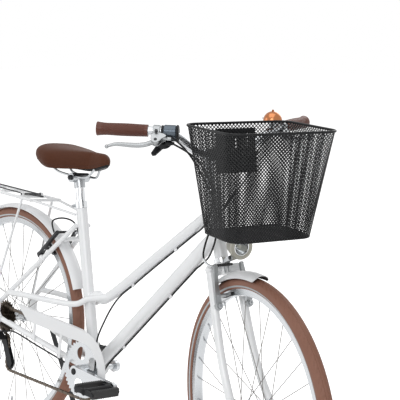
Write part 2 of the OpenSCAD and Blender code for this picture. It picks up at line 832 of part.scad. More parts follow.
// Gear shifter inboard of the right brake bracket
shift_p = [10, -32, -32];
shift_ring_z = -43.8;
module shifter_body() {
    color("slategray")
        at_grip(-1)
            difference() {
                union() {
                    translate([0, 0, shift_ring_z])
                        cylinder(r = bar_r + 4.4, h = 10);
                    translate([-8, shift_p.y + 8, shift_ring_z])
                        cube([16, 12, 10]);
                    translate([-8, shift_p.y, shift_ring_z])
                        cube([32, 15.8, 26]);
                    translate(shift_p)
                        rotate([90, 0, 0])
                            cylinder(r = 16, h = 6);
                    translate(shift_p - [0, 6, 0])
                        rotate([90, 0, 0])
                            cylinder(r = 4, h = 9);
                }
                translate([0, 0, -70])
                    cylinder(r = bar_r + 0.1, h = 80);
            }
}
module shift_lever() {
    color("black")
        at_grip(-1)
            translate(shift_p - [0, 6 + air, 0])
                rotate([90, 0, 0])
                    linear_extrude(6)
                        difference() {
                            union() {
                                circle(r = 11);
                                polygon([[0, 10], [30, 24], [36, 20], [34, 12], [8, -8]]);
                            }
                            circle(r = 4 + run);
                        }
}
// Bell on the left side of the bar
bell_i = 12;
bell_p = bar_half_route(1)[bell_i];
bell_r = 25;
bell_t = 1.4;
bell_base_h = 26;
bell_pin_r = 2.5;
// Lever pin behind the dome, with air between the lever's hub and the dome
bell_arm = bell_r + 5 + 1.5;
module bell() {
    color("peru")
        steered()
            translate(bell_p + [0, 0, bell_base_h]) {
                rotate_extrude()
                    difference() {
                        intersection() {
                            circle(r = bell_r);
                            square([bell_r, bell_r]);
                        }
                        translate([0, -e])
                            circle(r = bell_r - bell_t);
                    }
                cylinder(r = 3, h = bell_r + 4);
            }
}
module bell_base() {
    color("silver")
        steered() {
            difference() {
                translate(bell_p)
                    cylinder(r = 10, h = bell_base_h - 0.3);
                tube(bar_half_route(1), bar_r + 0.15, 16,
                    [0.36, 0, 1]);
            }
            translate(bell_p + [0, 0, bell_base_h - 0.3])
                difference() {
                    cylinder(r = 4.5, h = 10);
                    translate([0, 0, -1])
                        cylinder(r = 3 + run, h = 20);
                }
            translate(bell_p + [-bell_arm, 0, bell_base_h - 3]) {
                translate([0, -4, 0])
                    cube([bell_arm - 6, 8, 2.6]);
                cylinder(r = bell_pin_r, h = 14);
            }
        }
}
module bell_lever() {
    color("silver")
        steered()
            translate(bell_p + [-bell_arm, 0, bell_base_h + 0.4])
                difference() {
                    union() {
                        cylinder(r = 5, h = 6);
                        translate([-16, -3, 0])
                            cube([16, 6, 4]);
                    }
                    translate([0, 0, -1])
                        cylinder(r = bell_pin_r + run, h = 20);
                }
}

// Headlamp over the crown
lamp_s = crown_s + 72;
lamp_f = 65;
lamp_p = on_head(lamp_s, lamp_f);
lamp_len = 52;
lamp_pin = lamp_p + [8, 0, -lamp_d / 2 - 3];
module headlamp() {
    color("silver")
        steered() {
            translate(lamp_p)
                rotate([0, 90, 0])
                    rotate_extrude()
                        polygon([[0, -4], [12, -2], [22, 10], [lamp_d / 2 - 2, lamp_len - 14],
                            [lamp_d / 2, lamp_len - 12],
                            [lamp_d / 2, lamp_len], [lamp_d / 2 - 4, lamp_len],
                                [lamp_d / 2 - 6, lamp_len - 4], [0, lamp_len - 4]]);
            difference() {
                union() {
                    translate([lamp_pin.x - 6, -4, lamp_pin.z])
                        cube([12, 8, 20]);
                    disc_y(lamp_pin, 6, -4, 4);
                }
                disc_y(lamp_pin, 2.5 + run, -10, 10);
            }
        }
}
module lamp_bracket() {
    foot = on_head(crown_s + 12, 19);
    color("black")
        steered() {
            for (k = [-1, 1])
                difference() {
                    union() {
                        disc_y(lamp_pin, 6, k > 0 ? 4 + air : -7 - air, k > 0 ? 7 + air : -4 - air);
                        plate_y(k > 0 ? 4 + air : -7 - air, k > 0 ? 7 + air : -4 - air)
                            polygon([[lamp_pin.x - 5, lamp_pin.z + 3], [lamp_pin.x + 5, lamp_pin.z - 3],
                                [lamp_pin.x - 10, lamp_pin.z - 20], [foot.x, foot.z - 8],
                                    [foot.x - 3, foot.z + 6],
                                [lamp_pin.x - 18, lamp_pin.z - 10]]);
                    }
                    rod(on_head(crown_s), on_head(crown_s + crown_h), 19.2);
                    rod(on_head(crown_s + 16, 3, -leg_y), on_head(crown_s + 16, 3, leg_y), 13.2);
                }
            disc_y(lamp_pin, 2.5, -7 - air, 7 + air);
        }
}

// Rim brakes, in a frame at the axle: X around the wheel, Y across, Z out along the fork or stays
boss_r = 4;
arm_t = 8;
arm_x_front = -20;
arm_x_rear = -24;
boss_y_front = 45;
boss_y_rear = stay_low.y + stay_run.y * boss_t / stay_l + 0.4;
arm_top = wheel_r + 40;
pad_gap = 2;
pad_len = 48;
function front_pt(x, y, z) = front_axle_p + rot_y(-rake, [x, y, z]);
module brake_arm(k, x, by) {
    rim_y = rim_w / 2 + pad_gap;
    difference() {
        union() {
            translate([x + arm_t / 2, 0, 0])
                rotate([0, -90, 0])
                    linear_extrude(arm_t)
                        polygon([[boss_z - 9, k * (by - 6)], [boss_z - 9, k * (by + 6)],
                            [boss_z + 20, k * (by + 7)],
                            [arm_top, k * (by - 3)], [arm_top, k * (by - 11)],
                                [boss_z + 20, k * (by - 7)]]);
            translate([x, k * (by - 4), sqrt(pow(rim_mid_r, 2) - x * x)])
                rotate([k * 90, 0, 0])
                    cylinder(r = 4, h = by - 4 - rim_y - 6);
        }
        translate([x - 20, k * by, boss_z])
            rotate([0, 90, 0])
                cylinder(r = boss_r + run, h = 40);
    }
    translate([x - pad_len / 2, k > 0 ? rim_y : -rim_y - 7, sqrt(pow(rim_mid_r, 2) - x * x) - 5])
        cube([pad_len, 7, 9]);
}
rim_mid_r = (rim_in_r + bead_r) / 2 + 0.5;
module front_arm(k) {
    color("silver")
        steered()
            translate(front_axle_p)
                rotate([0, -rake, 0])
                    brake_arm(k, arm_x_front, boss_y_front);
}
module rear_arm(k) {
    color("dimgray")
        leaned()
            translate(rear_axle_p)
                rotate([0, brake_a, 0])
                    brake_arm(k, arm_x_rear, boss_y_rear);
}
module front_arm_left() {
    front_arm(1);
}
module front_arm_right() {
    front_arm(-1);
}
module rear_arm_left() {
    rear_arm(1);
}
module rear_arm_right() {
    rear_arm(-1);
}

// Wheels, drawn about the Y axis at the origin
module about_axle() {
    rotate([90, 0, 0])
        children();
}
tyre_t = 3.2;
rim_t = 2.6;
module tyre_ring() {
    about_axle()
        rotate_extrude($fn = 96)
            difference() {
                translate([ring_r, 0])
                    circle(r = tyre_w / 2);
                translate([ring_r, 0])
                    circle(r = tyre_w / 2 - tyre_t);
                translate([0, -tyre_w])
                    square([bead_r, 2 * tyre_w]);
            }
}
module rim_ring() {
    about_axle()
        rotate_extrude($fn = 96)
            polygon([[rim_in_r, -7], [rim_in_r + 3, -rim_w / 2], [bead_r, -rim_w / 2],
                [bead_r, -rim_w / 2 + rim_t],
                [rim_in_r + 6, -rim_w / 2 + rim_t], [rim_in_r + 4, -5], [rim_in_r + 4, 5],
                [rim_in_r + 6, rim_w / 2 - rim_t], [bead_r, rim_w / 2 - rim_t], [bead_r, rim_w / 2],
                [rim_in_r + 3, rim_w / 2], [rim_in_r, 7]]);
}
flange_r = 24;
flange_t = 3;
module hub_shell(y_left, y_right, r, y_out_l, y_out_r) {
    difference() {
        union() {
            disc_y([0, 0, 0], r, -y_right, y_left);
            disc_y([0, 0, 0], axle_r + 5, -y_out_r, y_out_l);
            disc_y([0, 0, 0], flange_r, y_left - flange_t / 2, y_left + flange_t / 2);
            disc_y([0, 0, 0], flange_r, -y_right - flange_t / 2, -y_right + flange_t / 2);
        }
        disc_y([0, 0, 0], axle_r + run, -200, 200);
    }
}
// Crossed spokes: each leaves one face of its flange and meets the rim
module spoke_set(y_left, y_right) {
    lie_in = flange_t / 2 + spoke_d / 2 + 0.1;
    lie_out = lie_in + 1.8;
    for (i = [0 : spokes - 1]) {
        left = i % 2 == 0;
        lead = floor(i / 2) % 2 == 0 ? 1 : -1;
        a = 360 * i / spokes;
        b = a + lead * 68;
        out = left ? lead > 0 : lead < 0;
        y = (left ? y_left : -y_right) + lead * (out ? lie_out : lie_in);
        rod([(flange_r - 4) * cos(b), y, (flange_r - 4) * sin(b)],
            [(rim_in_r - 0.4) * cos(a), left ? 2 : -2, (rim_in_r - 0.4) * sin(a)], spoke_d / 2, $fn = 16);
    }
}
front_flange = 33;
rear_flange_l = 34;
rear_flange_r = 22;
module front_tyre() {
    color("sienna")
        steered()
            translate(front_axle_p)
                tyre_ring();
}
module front_rim() {
    color("silver")
        steered()
            translate(front_axle_p)
                rim_ring();
}
module front_spokes() {
    color("silver")
        steered()
            translate(front_axle_p)
                spoke_set(front_flange, front_flange);
}
module front_hub() {
    color("silver")
        steered()
            translate(front_axle_p)
                hub_shell(front_flange, front_flange, 15, end_y - 0.5, end_y - 0.5);
}
module rear_tyre() {
    color("sienna")
        leaned()
            translate(rear_axle_p)
                tyre_ring();
}
module rear_rim() {
    color("silver")
        leaned()
            translate(rear_axle_p)
                rim_ring();
}
module rear_spokes() {
    color("silver")
        leaned()
            translate(rear_axle_p)
                spoke_set(rear_flange_l, rear_flange_r);
}
module rear_hub() {
    color("silver")
        leaned()
            translate(rear_axle_p)
                hub_shell(rear_flange_l, rear_flange_r, 17, drop_y - 0.5, drop_y - 0.5);
}

// Drive: tooth pitch sets every pitch radius
pitch = 12.7;
function pitch_r(n) = pitch / 2 / sin(180 / n);
module toothed(n) {
    r = pitch_r(n);
    polygon([for (i = [0 : n - 1], k = [0 : 3]) let (a = 360 / n * (i + [0.1, 0.36, 0.64, 0.9][k] - 0.5),
        q = [r - 3.2, r + 2.4, r + 2.4, r - 3.2][k]) [q * cos(a), q * sin(a)]]);
}
chain_y = -46;
tooth_t = 1.8;
cog_step = 4.8;
cogs = [24, 22, 20, 18, 16, 15, 14];
chain_cog = 3;
freewheel_bore = axle_r + 5 + 0.4;
module cassette() {
    color("silver")
        leaned()
            translate(rear_axle_p)
                difference() {
                    union() {
                        for (i = [0 : len(cogs) - 1])
                            plate_y(chain_y + (chain_cog - i) * cog_step - tooth_t / 2,
                                chain_y + (chain_cog - i) * cog_step + tooth_t / 2)
                                toothed(cogs[i]);
                        disc_y([0, 0, 0], 24, chain_y - 3 * cog_step - 1.5, chain_y + 3 * cog_step + 3);
                    }
                    disc_y([0, 0, 0], freewheel_bore, -200, 200);
                }
}
crank_y = 68;
crank_t = 13;
pedal_pin_r = 6;
pedal_y = crank_y + crank_t + 2;
module ring_plate() {
    plate_y(chain_y - tooth_t / 2, chain_y + tooth_t / 2)
        difference() {
            toothed(ring_teeth);
            circle(r = spindle_r + 4);
            for (a = [0 : 72 : 288])
                rotate(a + 36)
                    translate([pitch_r(ring_teeth) * 0.58, 0])
                        circle(r = 19);
        }
}
module crankset() {
    color("silver")
        leaned()
            translate(bb_p) {
                ring_plate();
                disc_y([0, 0, 0], spindle_r, -crank_y - 2, crank_y + 2);
                disc_y([0, 0, 0], spindle_r + 9, -crank_y - 1, chain_y + 3);
                for (k = [-1, 1]) {
                    plate_y(k > 0 ? crank_y : -crank_y - crank_t, k > 0 ? crank_y + crank_t : -crank_y)
                        union() {
                            circle(r = 17);
                            translate([-k * crank_len, 0])
                                circle(r = 14);
                            polygon([[0, 15], [0, -15], [-k * crank_len, -11], [-k * crank_len, 11]]);
                        }
                    disc_y([-k * crank_len, 0, 0], pedal_pin_r,
                        k > 0 ? crank_y + 1 : -pedal_y - pedal_w + 6,
                        k > 0 ? pedal_y + pedal_w - 6 : -crank_y - 1);
                }
            }
}
pedal_l = 84;
pedal_h = 24;
module pedal(k) {
    color("black")
        leaned()
            translate(bb_p + [-k * crank_len, 0, 0])
                difference() {
                    union() {
                        disc_y([0, 0, 0], 11, k > 0 ? pedal_y : -pedal_y - pedal_w,
                            k > 0 ? pedal_y + pedal_w : -pedal_y);
                        for (m = [-1, 1])
                            translate([m > 0 ? pedal_l / 2 - 10 : -pedal_l / 2,
                                k > 0 ? pedal_y : -pedal_y - pedal_w, -pedal_h / 2])
                                cube([10, pedal_w, pedal_h]);
                        for (y = [0, pedal_w - 10])
                            translate([-pedal_l / 2 + e, k > 0 ? pedal_y + y : -pedal_y - y - 10,
                                -pedal_h / 2 + 3])
                                cube([pedal_l - 2 * e, 10, pedal_h - 6]);
                    }
                    disc_y([0, 0, 0], pedal_pin_r + run, k > 0 ? pedal_y - 1 : -pedal_y - pedal_w + 4,
                        k > 0 ? pedal_y + pedal_w - 4 : -pedal_y + 1);
                }
}
module pedal_left() {
    pedal(1);
}
module pedal_right() {
    pedal(-1);
}

// Chain: a loop round chainring, cog and two jockey wheels; turn is +1 inside the loop
jockey_teeth = 11;
jockey_up = [26, wheel_r - 72];
jockey_low = [66, wheel_r - 136];
wheels_of_chain = [
    [[bb_x, bb_z], pitch_r(ring_teeth), 1],
    [[0, wheel_r], pitch_r(cogs[chain_cog]), 1],
    [jockey_up, pitch_r(jockey_teeth), -1],
    [jockey_low, pitch_r(jockey_teeth), 1]];
function run_angle(a, b) = let (d = b[0] - a[0])
    atan2(d.y, d.x) - asin((b[2] * b[1] - a[2] * a[1]) / norm(d));
// Outline of the loop, moved h to its inner side
function chain_line(h) = [for (i = [0 : 3]) let (w = wheels_of_chain[i],
    a0 = run_angle(wheels_of_chain[(i + 3) % 4], w),
    a1 = run_angle(w, wheels_of_chain[(i + 1) % 4]), turn = w[2],
    sweep = turn > 0 ? (a1 - a0 + 720) % 360 : -((a0 - a1 + 720) % 360), n = 14)
    for (k = [0 : n]) let (a = a0 + sweep * k / n) w[0] + turn * (w[1] - turn * h) * [sin(a), -cos(a)]];
link_h = 8.4;
link_gap = 2.6;
link_t = 1.1;
module chain() {
    top_a = wheels_of_chain[0][0] + chain_top_n * wheels_of_chain[0][1];
    top_b = wheels_of_chain[1][0] + chain_top_n * wheels_of_chain[1][1];
    color("dimgray")
        leaned() {
            for (m = [-1, 1])
                plate_y(chain_y + m * (link_gap / 2 + link_t / 2) - link_t / 2,
                    chain_y + m * (link_gap / 2 + link_t / 2) + link_t / 2)
                    difference() {
                        polygon(chain_line(-link_h / 2));
                        polygon(chain_line(link_h / 2));
                    }
            for (i = [3 : floor(norm(top_b - top_a) / pitch) - 3])
                let (q = top_a + unit(top_b - top_a) * pitch * i)
                    disc_y([q.x, 0, q.y], 2.4, chain_y - link_gap / 2 - link_t / 2,
                        chain_y + link_gap / 2 + link_t / 2, $fn = 16);
        }
}
chain_top_a = run_angle(wheels_of_chain[0], wheels_of_chain[1]);
chain_top_n = [sin(chain_top_a), -cos(chain_top_a)];
// Derailleur below the right dropout, with its jockey wheels
module derailleur() {
    up = [jockey_up.x, chain_y, jockey_up.y];
    low = [jockey_low.x, chain_y, jockey_low.y];
    color("black")
        leaned() {
            for (p = [up, low]) {
                plate_y(chain_y - tooth_t / 2, chain_y + tooth_t / 2)
                    translate([p.x, p.z])
                        circle(r = pitch_r(jockey_teeth) - 4.6);
                disc_y(p, 6, chain_y - 6, chain_y + 6);
            }
            for (y = [chain_y - 6, chain_y + 4])
                plate_y(y, y + 2)
                    polygon([[up.x - 12, up.z + 8], [up.x + 10, up.z + 12], [low.x + 14, low.z + 4],
                        [low.x + 4, low.z - 14],
                        [low.x - 12, low.z - 4]]);
            plate_y(-drop_y - drop_t - 7, -drop_y - drop_t)
                polygon([[-8, wheel_r - 40], [14, wheel_r - 44], [22, wheel_r - 10], [6, wheel_r - 11],
                    [-6, wheel_r - 16]]);
            plate_y(-drop_y - drop_t - 7, chain_y - 6)
                polygon([[-4, wheel_r - 44], [18, wheel_r - 46], [up.x + 12, up.z + 8],
                    [up.x - 8, up.z + 8]]);
        }
}
// Chain guard over the upper run
guard_y = -60;
guard_out = 118;
module chain_guard() {
    tail = 92;
    color("white")
        leaned() {
            plate_y(guard_y, guard_y + 2)
                union() {
                    polygon([[tail, wheel_r + 62], [tail + 60, wheel_r + 22], [bb_x - 60, bb_z + 82],
                        [bb_x, bb_z + 84],
                        [bb_x, bb_z + guard_out], [bb_x - 60, bb_z + guard_out + 2]]);
                    intersection() {
                        translate([bb_x, bb_z])
                            difference() {
                                circle(r = guard_out);
                                circle(r = 84);
                            }
                        polygon([[bb_x - 1, bb_z], [bb_x - 1, bb_z + 200], [bb_x + 300, bb_z + 200],
                            [bb_x + 300, bb_z - 120],
                            [bb_x, bb_z]]);
                    }
                    for (x = [190, 322])
                        translate([x - 6, stay_z(x) - 5])
                            square([12, bb_z + 96 - stay_z(x)]);
                }
            plate_y(guard_y, guard_y + 11)
                polygon([[tail, wheel_r + 62], [bb_x - 60, bb_z + guard_out + 2], [bb_x, bb_z + guard_out],
                    [bb_x, bb_z + guard_out - 2], [bb_x - 60, bb_z + guard_out], [tail, wheel_r + 60]]);
            for (x = [190, 322])
                difference() {
                    disc_y([x, 0, stay_z(x)], 4, guard_y, -stay_y(x));
                    rod([bb_x - 14, -27, bb_z + 3], [14, -drop_y + 2, wheel_r + 1], chain_stay_d / 2);
                }
        }
}
// Centre line of a chain stay at a distance x ahead of the axle
function stay_t(x) = (bb_x - 14 - x) / (bb_x - 28);
function stay_y(x) = 27 + stay_t(x) * (drop_y - 29);
function stay_z(x) = bb_z + 3 + stay_t(x) * (wheel_r - bb_z - 2);

// Basket on its holder
rim_gap = 64;
basket_p = on_head(clamp_s, stem_reach) + [rim_gap + basket_l / 2, 0, 88];
corner_r = 38;
module basket_form(in, top) {
    hull() {
        for (i = [-1, 1], j = [-1, 1]) {
            translate(basket_p + [i * (basket_l / 2 - corner_r), j * (basket_w / 2 - corner_r), top - 2])
                cylinder(r = corner_r - in, h = 2, $fn = 32);
            translate(basket_p + [i * (floor_l / 2 - corner_r), j * (floor_w / 2 - corner_r),
                -basket_h + in])
                cylinder(r = corner_r - in, h = 2, $fn = 32);
        }
    }
}
function rim_route() = [for (q = [0 : 3], a = [0 : 15 : 90]) let (i = [1, -1, -1, 1][q],
    j = [1, 1, -1, -1][q])
    basket_p + [i * (basket_l / 2 - corner_r) + corner_r * cos(90 * q + a),
        j * (basket_w / 2 - corner_r) + corner_r * sin(90 * q + a), 0]];
module loop_tube(p, r, sides) {
    m = len(p);
    rings = [for (i = [0 : m - 1]) ring(p[i], unit(p[(i + 1) % m] - p[(i + m - 1) % m]), r, sides,
        [0, 0, 1])];
    polyhedron(
        points = [for (a = rings) for (b = a) b],
        faces = concat(
            [for (i = [0 : m - 1], k = [0 : sides - 1]) let (i1 = (i + 1) % m, k1 = (k + 1) % sides)
                [i * sides + k, i1 * sides + k, i1 * sides + k1]],
            [for (i = [0 : m - 1], k = [0 : sides - 1]) let (i1 = (i + 1) % m, k1 = (k + 1) % sides)
                [i * sides + k, i1 * sides + k1, i * sides + k1]]));
}
module basket() {
    color("black")
        steered() {
            difference() {
                basket_form(0, 0);
                basket_form(basket_t, 20);
            }
            loop_tube(rim_route(), 3.2, 8);
        }
}
wall_a = atan((basket_l - floor_l) / 2 / basket_h);
plate_t = 6;
plate_w = 112;
plate_h = 112;
// The rear wall's frame: origin at the rim, X out of the basket's inside, Z up the wall
module on_rear_wall() {
    translate(basket_p - [basket_l / 2, 0, 0])
        rotate([0, -wall_a, 0])
            children();
}
module basket_plate() {
    color("black")
        steered()
            on_rear_wall()
                difference() {
                    translate([-plate_t - 0.3, -plate_w / 2, -plate_h - 14])
                        cube([plate_t, plate_w, plate_h]);
                    for (k = [-1, 0, 1])
                        translate([-plate_t - 1, k * 34 - 2.5, -62])
                            cube([plate_t + 2, 5, 34]);
                }
}
holder_t = 16;
module basket_holder() {
    hold = on_head(clamp_s, stem_reach);
    color("black")
        steered() {
            on_rear_wall()
                translate([-plate_t - 0.3 - air - holder_t, -42, -118])
                    cube([holder_t, 84, 50]);
            difference() {
                for (k = [-1, 1]) {
                    disc_y(hold, bar_r + 5, k * 31 - 7, k * 31 + 7);
                    rod(hold + [0, k * 31, 0], hold + [rim_gap - 6, k * 31, 4], 7);
                }
                disc_y(hold, bar_r + 0.1, -60, 60);
            }
        }
}

// Cables: housings clipped to the frame, and the loops between bar and frame
cable_r = 2.5;
down_p = on_head(down_head_s);
down_dir = unit(bb_p - down_p);
down_below = [-down_dir.z, 0, down_dir.x];
// Point under the main tube at step i of its route, moved t along it
function under_main(i, t = 0) = let (d = unit(main_route[i + 1] - main_route[i - 1]))
    main_route[i] + d * t + [-d.z, 0, d.x] * (main_d / 2 + cable_r + 0.6);
function under_down(t, out = 0) = down_p + down_dir * t + down_below * (down_d / 2 + cable_r + 0.6 + out);
function grip_at(k, p) = let (z = grip_dir(k), x = unit(reach_dir - z * (reach_dir * z)), y = cross(z, x))
    grip_pt(k, 0) + x * p.x + y * p.y + z * p.z;
gear_stop = 2;
brake_stop = 120;
gear_route = [under_main(gear_stop), under_main(3), under_main(4), under_main(5), under_main(6),
    under_main(7),
    [474, -2, 486], [454, -8, 440], [446, -22, 385], [454, -27, 330], [454, -27, 290], [438, -27, 256],
    [400, -28, 258], [340, -33, 280], [200, -48, 303], [90, -58, 320], [60, -70, 316], [40, -77, 313],
        [17, -77, 312]];
brake_route = [under_down(brake_stop), under_down(250), under_down(380), under_down(500), under_down(600),
    [446, 12, 262], [418, 14, 258], [392, 12, 268], [378, 4, 300], on_seat(80, -seat_d / 2 - cable_r - 4),
    on_seat(130, -seat_d / 2 - cable_r - 1.5), on_seat(190, -seat_d / 2 - cable_r - 0.8),
        on_seat(300, -seat_d / 2 - cable_r - 0.8),
    on_seat(370, -seat_d / 2 - cable_r - 2), [274, -8, 692], [246, -30, 706], [222, -54, 694],
        rear_pt(arm_x_rear, -boss_y_rear - 6, arm_top - 5)];
module frame_cables() {
    color("black")
        leaned() {
            tube(curve(gear_route, 3), cable_r, 8, [0.2, 1, 0.1]);
            tube(curve(brake_route, 3), cable_r, 8, [0.2, 1, 0.1]);
        }
}
loop_gear = [[868, -110, 960], [880, -60, 890], [858, -34, 815], [818, -16, 778]];
loop_brake = [[880, -140, 965], [902, -72, 865], [896, -42, 780], [859, -18, 714]];
gear_exit = [19, shift_p.y + 8, shift_ring_z - 0.9];
brake_exit = barrel_p - [0, 0, 0.9];
module cable_loops() {
    color("black")
        leaned() {
            tube(curve(concat([steer_pt(grip_at(-1, gear_exit)),
                steer_pt(grip_at(-1, gear_exit - [0, 0, 16]))],
                loop_gear, [under_main(gear_stop, -18), under_main(gear_stop, -1)]), 4), cable_r, 8);
            tube(curve(concat([steer_pt(grip_at(-1, brake_exit)),
                steer_pt(grip_at(-1, brake_exit - [0, 0, 20]))],
                loop_brake, [under_down(brake_stop - 20, 2.5), under_down(brake_stop - 1)]), 4),
                    cable_r, 8);
        }
}
front_route = [[905, 120, 1025], [915, 75, 985], [915, 55, 930], [912, 5, 870], [905, -42, 800],
    [908, -66, 740], [914, -64, 712]];
module front_brake_cable() {
    color("black")
        steered()
            tube(curve(concat([grip_at(1, brake_exit), grip_at(1, brake_exit - [0, 0, 20])], front_route,
                [front_pt(arm_x_front, -boss_y_front - 5, arm_top - 5)]), 4), cable_r, 8);
}

head_tube();
main_tube();
down_tube();
seat_tube();
chain_stays();
seat_stays();
twin_stays();
seat_collar();
headset_cups();
rear_mudguard();
carrier();
carrier_clip();
stand();
rear_axle();
chain_guard();
chain();
derailleur();
frame_cables();
cable_loops();
seatpost();
seat_clamp();
saddle_rails();
saddle_base();
saddle();
fork();
front_axle();
front_mudguard();
stem();
handlebar();
grips();
lever_brackets();
lever_left();
lever_right();
shifter_body();
shift_lever();
bell_base();
bell();
bell_lever();
lamp_bracket();
headlamp();
basket_holder();
basket_plate();
basket();
front_brake_cable();
front_arm_left();
front_arm_right();
rear_arm_left();
rear_arm_right();
front_tyre();
front_rim();
front_spokes();
front_hub();
rear_tyre();
rear_rim();
rear_spokes();
rear_hub();
cassette();
crankset();
pedal_left();
pedal_right();
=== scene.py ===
# %% [markdown]
# # A white step-through city bicycle
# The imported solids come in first, as a frame that nothing here moves. Everything else is dressed around
# them: finishes for the solids that already have the right shape, and modelled meshes for the basket,
# saddle, grips, tyres, levers, cables and chain.

# %% Load the fixed frame
import json
import math

import bmesh
import bpy
from mathutils import Matrix, Vector


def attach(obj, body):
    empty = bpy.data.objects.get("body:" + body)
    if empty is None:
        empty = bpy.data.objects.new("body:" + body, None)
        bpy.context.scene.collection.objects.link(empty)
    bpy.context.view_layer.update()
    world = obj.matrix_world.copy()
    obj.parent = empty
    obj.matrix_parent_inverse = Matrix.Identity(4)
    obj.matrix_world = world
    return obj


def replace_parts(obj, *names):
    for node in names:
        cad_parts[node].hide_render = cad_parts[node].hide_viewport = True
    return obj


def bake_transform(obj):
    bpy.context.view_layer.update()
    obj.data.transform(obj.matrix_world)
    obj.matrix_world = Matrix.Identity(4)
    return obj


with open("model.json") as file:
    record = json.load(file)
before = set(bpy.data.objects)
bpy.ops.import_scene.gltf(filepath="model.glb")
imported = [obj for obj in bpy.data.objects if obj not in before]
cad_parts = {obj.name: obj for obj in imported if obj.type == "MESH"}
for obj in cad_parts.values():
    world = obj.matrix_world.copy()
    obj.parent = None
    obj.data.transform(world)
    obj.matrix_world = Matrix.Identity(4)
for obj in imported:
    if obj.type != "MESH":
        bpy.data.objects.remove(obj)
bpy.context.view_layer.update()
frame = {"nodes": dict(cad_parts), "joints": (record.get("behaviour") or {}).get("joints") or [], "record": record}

# %% [markdown]
# The bicycle leans on its side stand and its bars are turned, so a measured place on it is hard to read off.
# It is easier to work in the upright bicycle's own millimetres, X forward from the rear axle and Z up from
# the ground, and to let two matrices carry a finished piece into the leaned frame. The joints say where the
# axles and the steering axis are, so the matrices come from them.

# %% Two matrices from the joints
MM = 0.001
LEAN = math.radians(7)
STEER = math.radians(-17)
RAKE = math.radians(21)
SEAT_ANGLE = math.radians(73)
WHEEL_R = 348.0
TYRE_W = 37.0

joint = {j["name"]: j for j in frame["joints"]}
mount = {m["name"]: m for m in frame["record"]["mounts"]}
# A leaning tyre rolls over on its round tread, so the lean turns about the middle of the tyre's section
tread_up = Matrix.Translation((0, 0, TYRE_W / 2))
tilt = tread_up @ Matrix.Rotation(-LEAN, 4, "X") @ tread_up.inverted()
rear_axle = Vector((0, 0, WHEEL_R))
shift = Vector(joint["rear_wheel_spin"]["pos_m"]) / MM - tilt @ rear_axle
BIKE = Matrix.Scale(MM, 4) @ Matrix.Translation(shift) @ tilt

head_dir = Vector((-math.sin(RAKE), 0, math.cos(RAKE)))
head_fwd = Vector((math.cos(RAKE), 0, math.sin(RAKE)))
seat_dir = Vector((-math.cos(SEAT_ANGLE), 0, math.sin(SEAT_ANGLE)))
seat_fwd = Vector((math.sin(SEAT_ANGLE), 0, math.cos(SEAT_ANGLE)))
head_low = BIKE.inverted() @ Vector(joint["steering"]["pos_m"])
to_head = Matrix.Translation(head_low)
BARS = BIKE @ to_head @ Matrix.Rotation(STEER, 4, head_dir) @ to_head.inverted()


def on_bike(pos_m):
    """A frame point, in metres, as upright millimetres."""
    return BIKE.inverted() @ Vector(pos_m)


def on_bars(pos_m):
    """The same for a point that turns with the bars, as if they were straight."""
    return BARS.inverted() @ Vector(pos_m)


bb = on_bike(joint["crank_spin"]["pos_m"])
front_axle = on_bars(joint["front_wheel_spin"]["pos_m"])
print("bottom bracket", tuple(round(c) for c in bb), "front axle", tuple(round(c) for c in front_axle))

# %% [markdown]
# The camera stands where the photograph was taken from: ahead of the bicycle on its right side, a little
# above the bars. Its angles and place were worked out from the two wheel ellipses, the saddle and the
# basket, in the upright frame, so the lean carries it along.

# %% Camera
AZIMUTH = math.radians(45.37)
ELEVATION = math.radians(6.36)
ROLL = math.radians(6.41)
EYE = Vector((2847.73, -2040.22, 1169.85))
FOCAL_PX = 1101.22
IMAGE_PX = 400
SENSOR = 36.0
FARTHEST = 50.0

back = Vector((math.sin(AZIMUTH) * math.cos(ELEVATION), -math.cos(AZIMUTH) * math.cos(ELEVATION),
               math.sin(ELEVATION)))
level = Vector((math.cos(AZIMUTH), math.sin(AZIMUTH), 0))
upright = back.cross(level)
right = level * math.cos(ROLL) + upright * math.sin(ROLL)
up = back.cross(right)
turn = (BIKE.to_3x3() * (1 / MM)) @ Matrix((right, up, back)).transposed()
camera = bpy.data.objects.new("camera", bpy.data.cameras.new("camera"))
camera.matrix_world = Matrix.Translation(BIKE @ EYE) @ turn.to_4x4()
camera.data.sensor_width = SENSOR
camera.data.lens = FOCAL_PX / IMAGE_PX * SENSOR
camera.data.clip_end = FARTHEST
bpy.context.scene.collection.objects.link(camera)
bpy.context.scene.camera = camera
print("camera at", tuple(round(c, 3) for c in camera.location), "lens", round(camera.data.lens, 1))

# %% [markdown]
# Two helpers serve every material. Blender mixes colours in linear light, while a colour chart gives sRGB
# hex values, so one function turns the second into the first. The other adds a shader node with its
# settings and its links in one call, which keeps a material as short to read as its node diagram.

# %% Colours and shader nodes
SRGB_LIMIT = 0.04045


def colour(hex_code):
    """An sRGB hex value as linear RGBA."""
    parts = [int(hex_code[i:i + 2], 16) / 255 for i in (1, 3, 5)]
    linear = [c / 12.92 if c <= SRGB_LIMIT else ((c + 0.055) / 1.055) ** 2.4 for c in parts]
    return (*linear, 1.0)


def add(tree, kind, inputs=None, **settings):
    """One node, with its settings and what goes into it: a value, or another node's socket."""
    made = tree.nodes.new(kind)
    for key, value in settings.items():
        setattr(made, key, value)
    for key, value in (inputs or {}).items():
        if isinstance(value, bpy.types.NodeSocket):
            tree.links.new(value, made.inputs[key])
        else:
            made.inputs[key].default_value = value
    return made


print("middle grey in linear light:", round(colour("#808080")[0], 3))

# %% [markdown]
# A studio for a white product: a pale floor that takes a soft shadow, a white surround that metal can
# mirror, and large soft lamps. The lamps stay at a plain level, so a colour renders about as it is written,
# and the white behind the bicycle comes from the backdrop's own colour.

# %% White surround
AMBIENT, PLAIN_WHITE = 0.47, 1.0


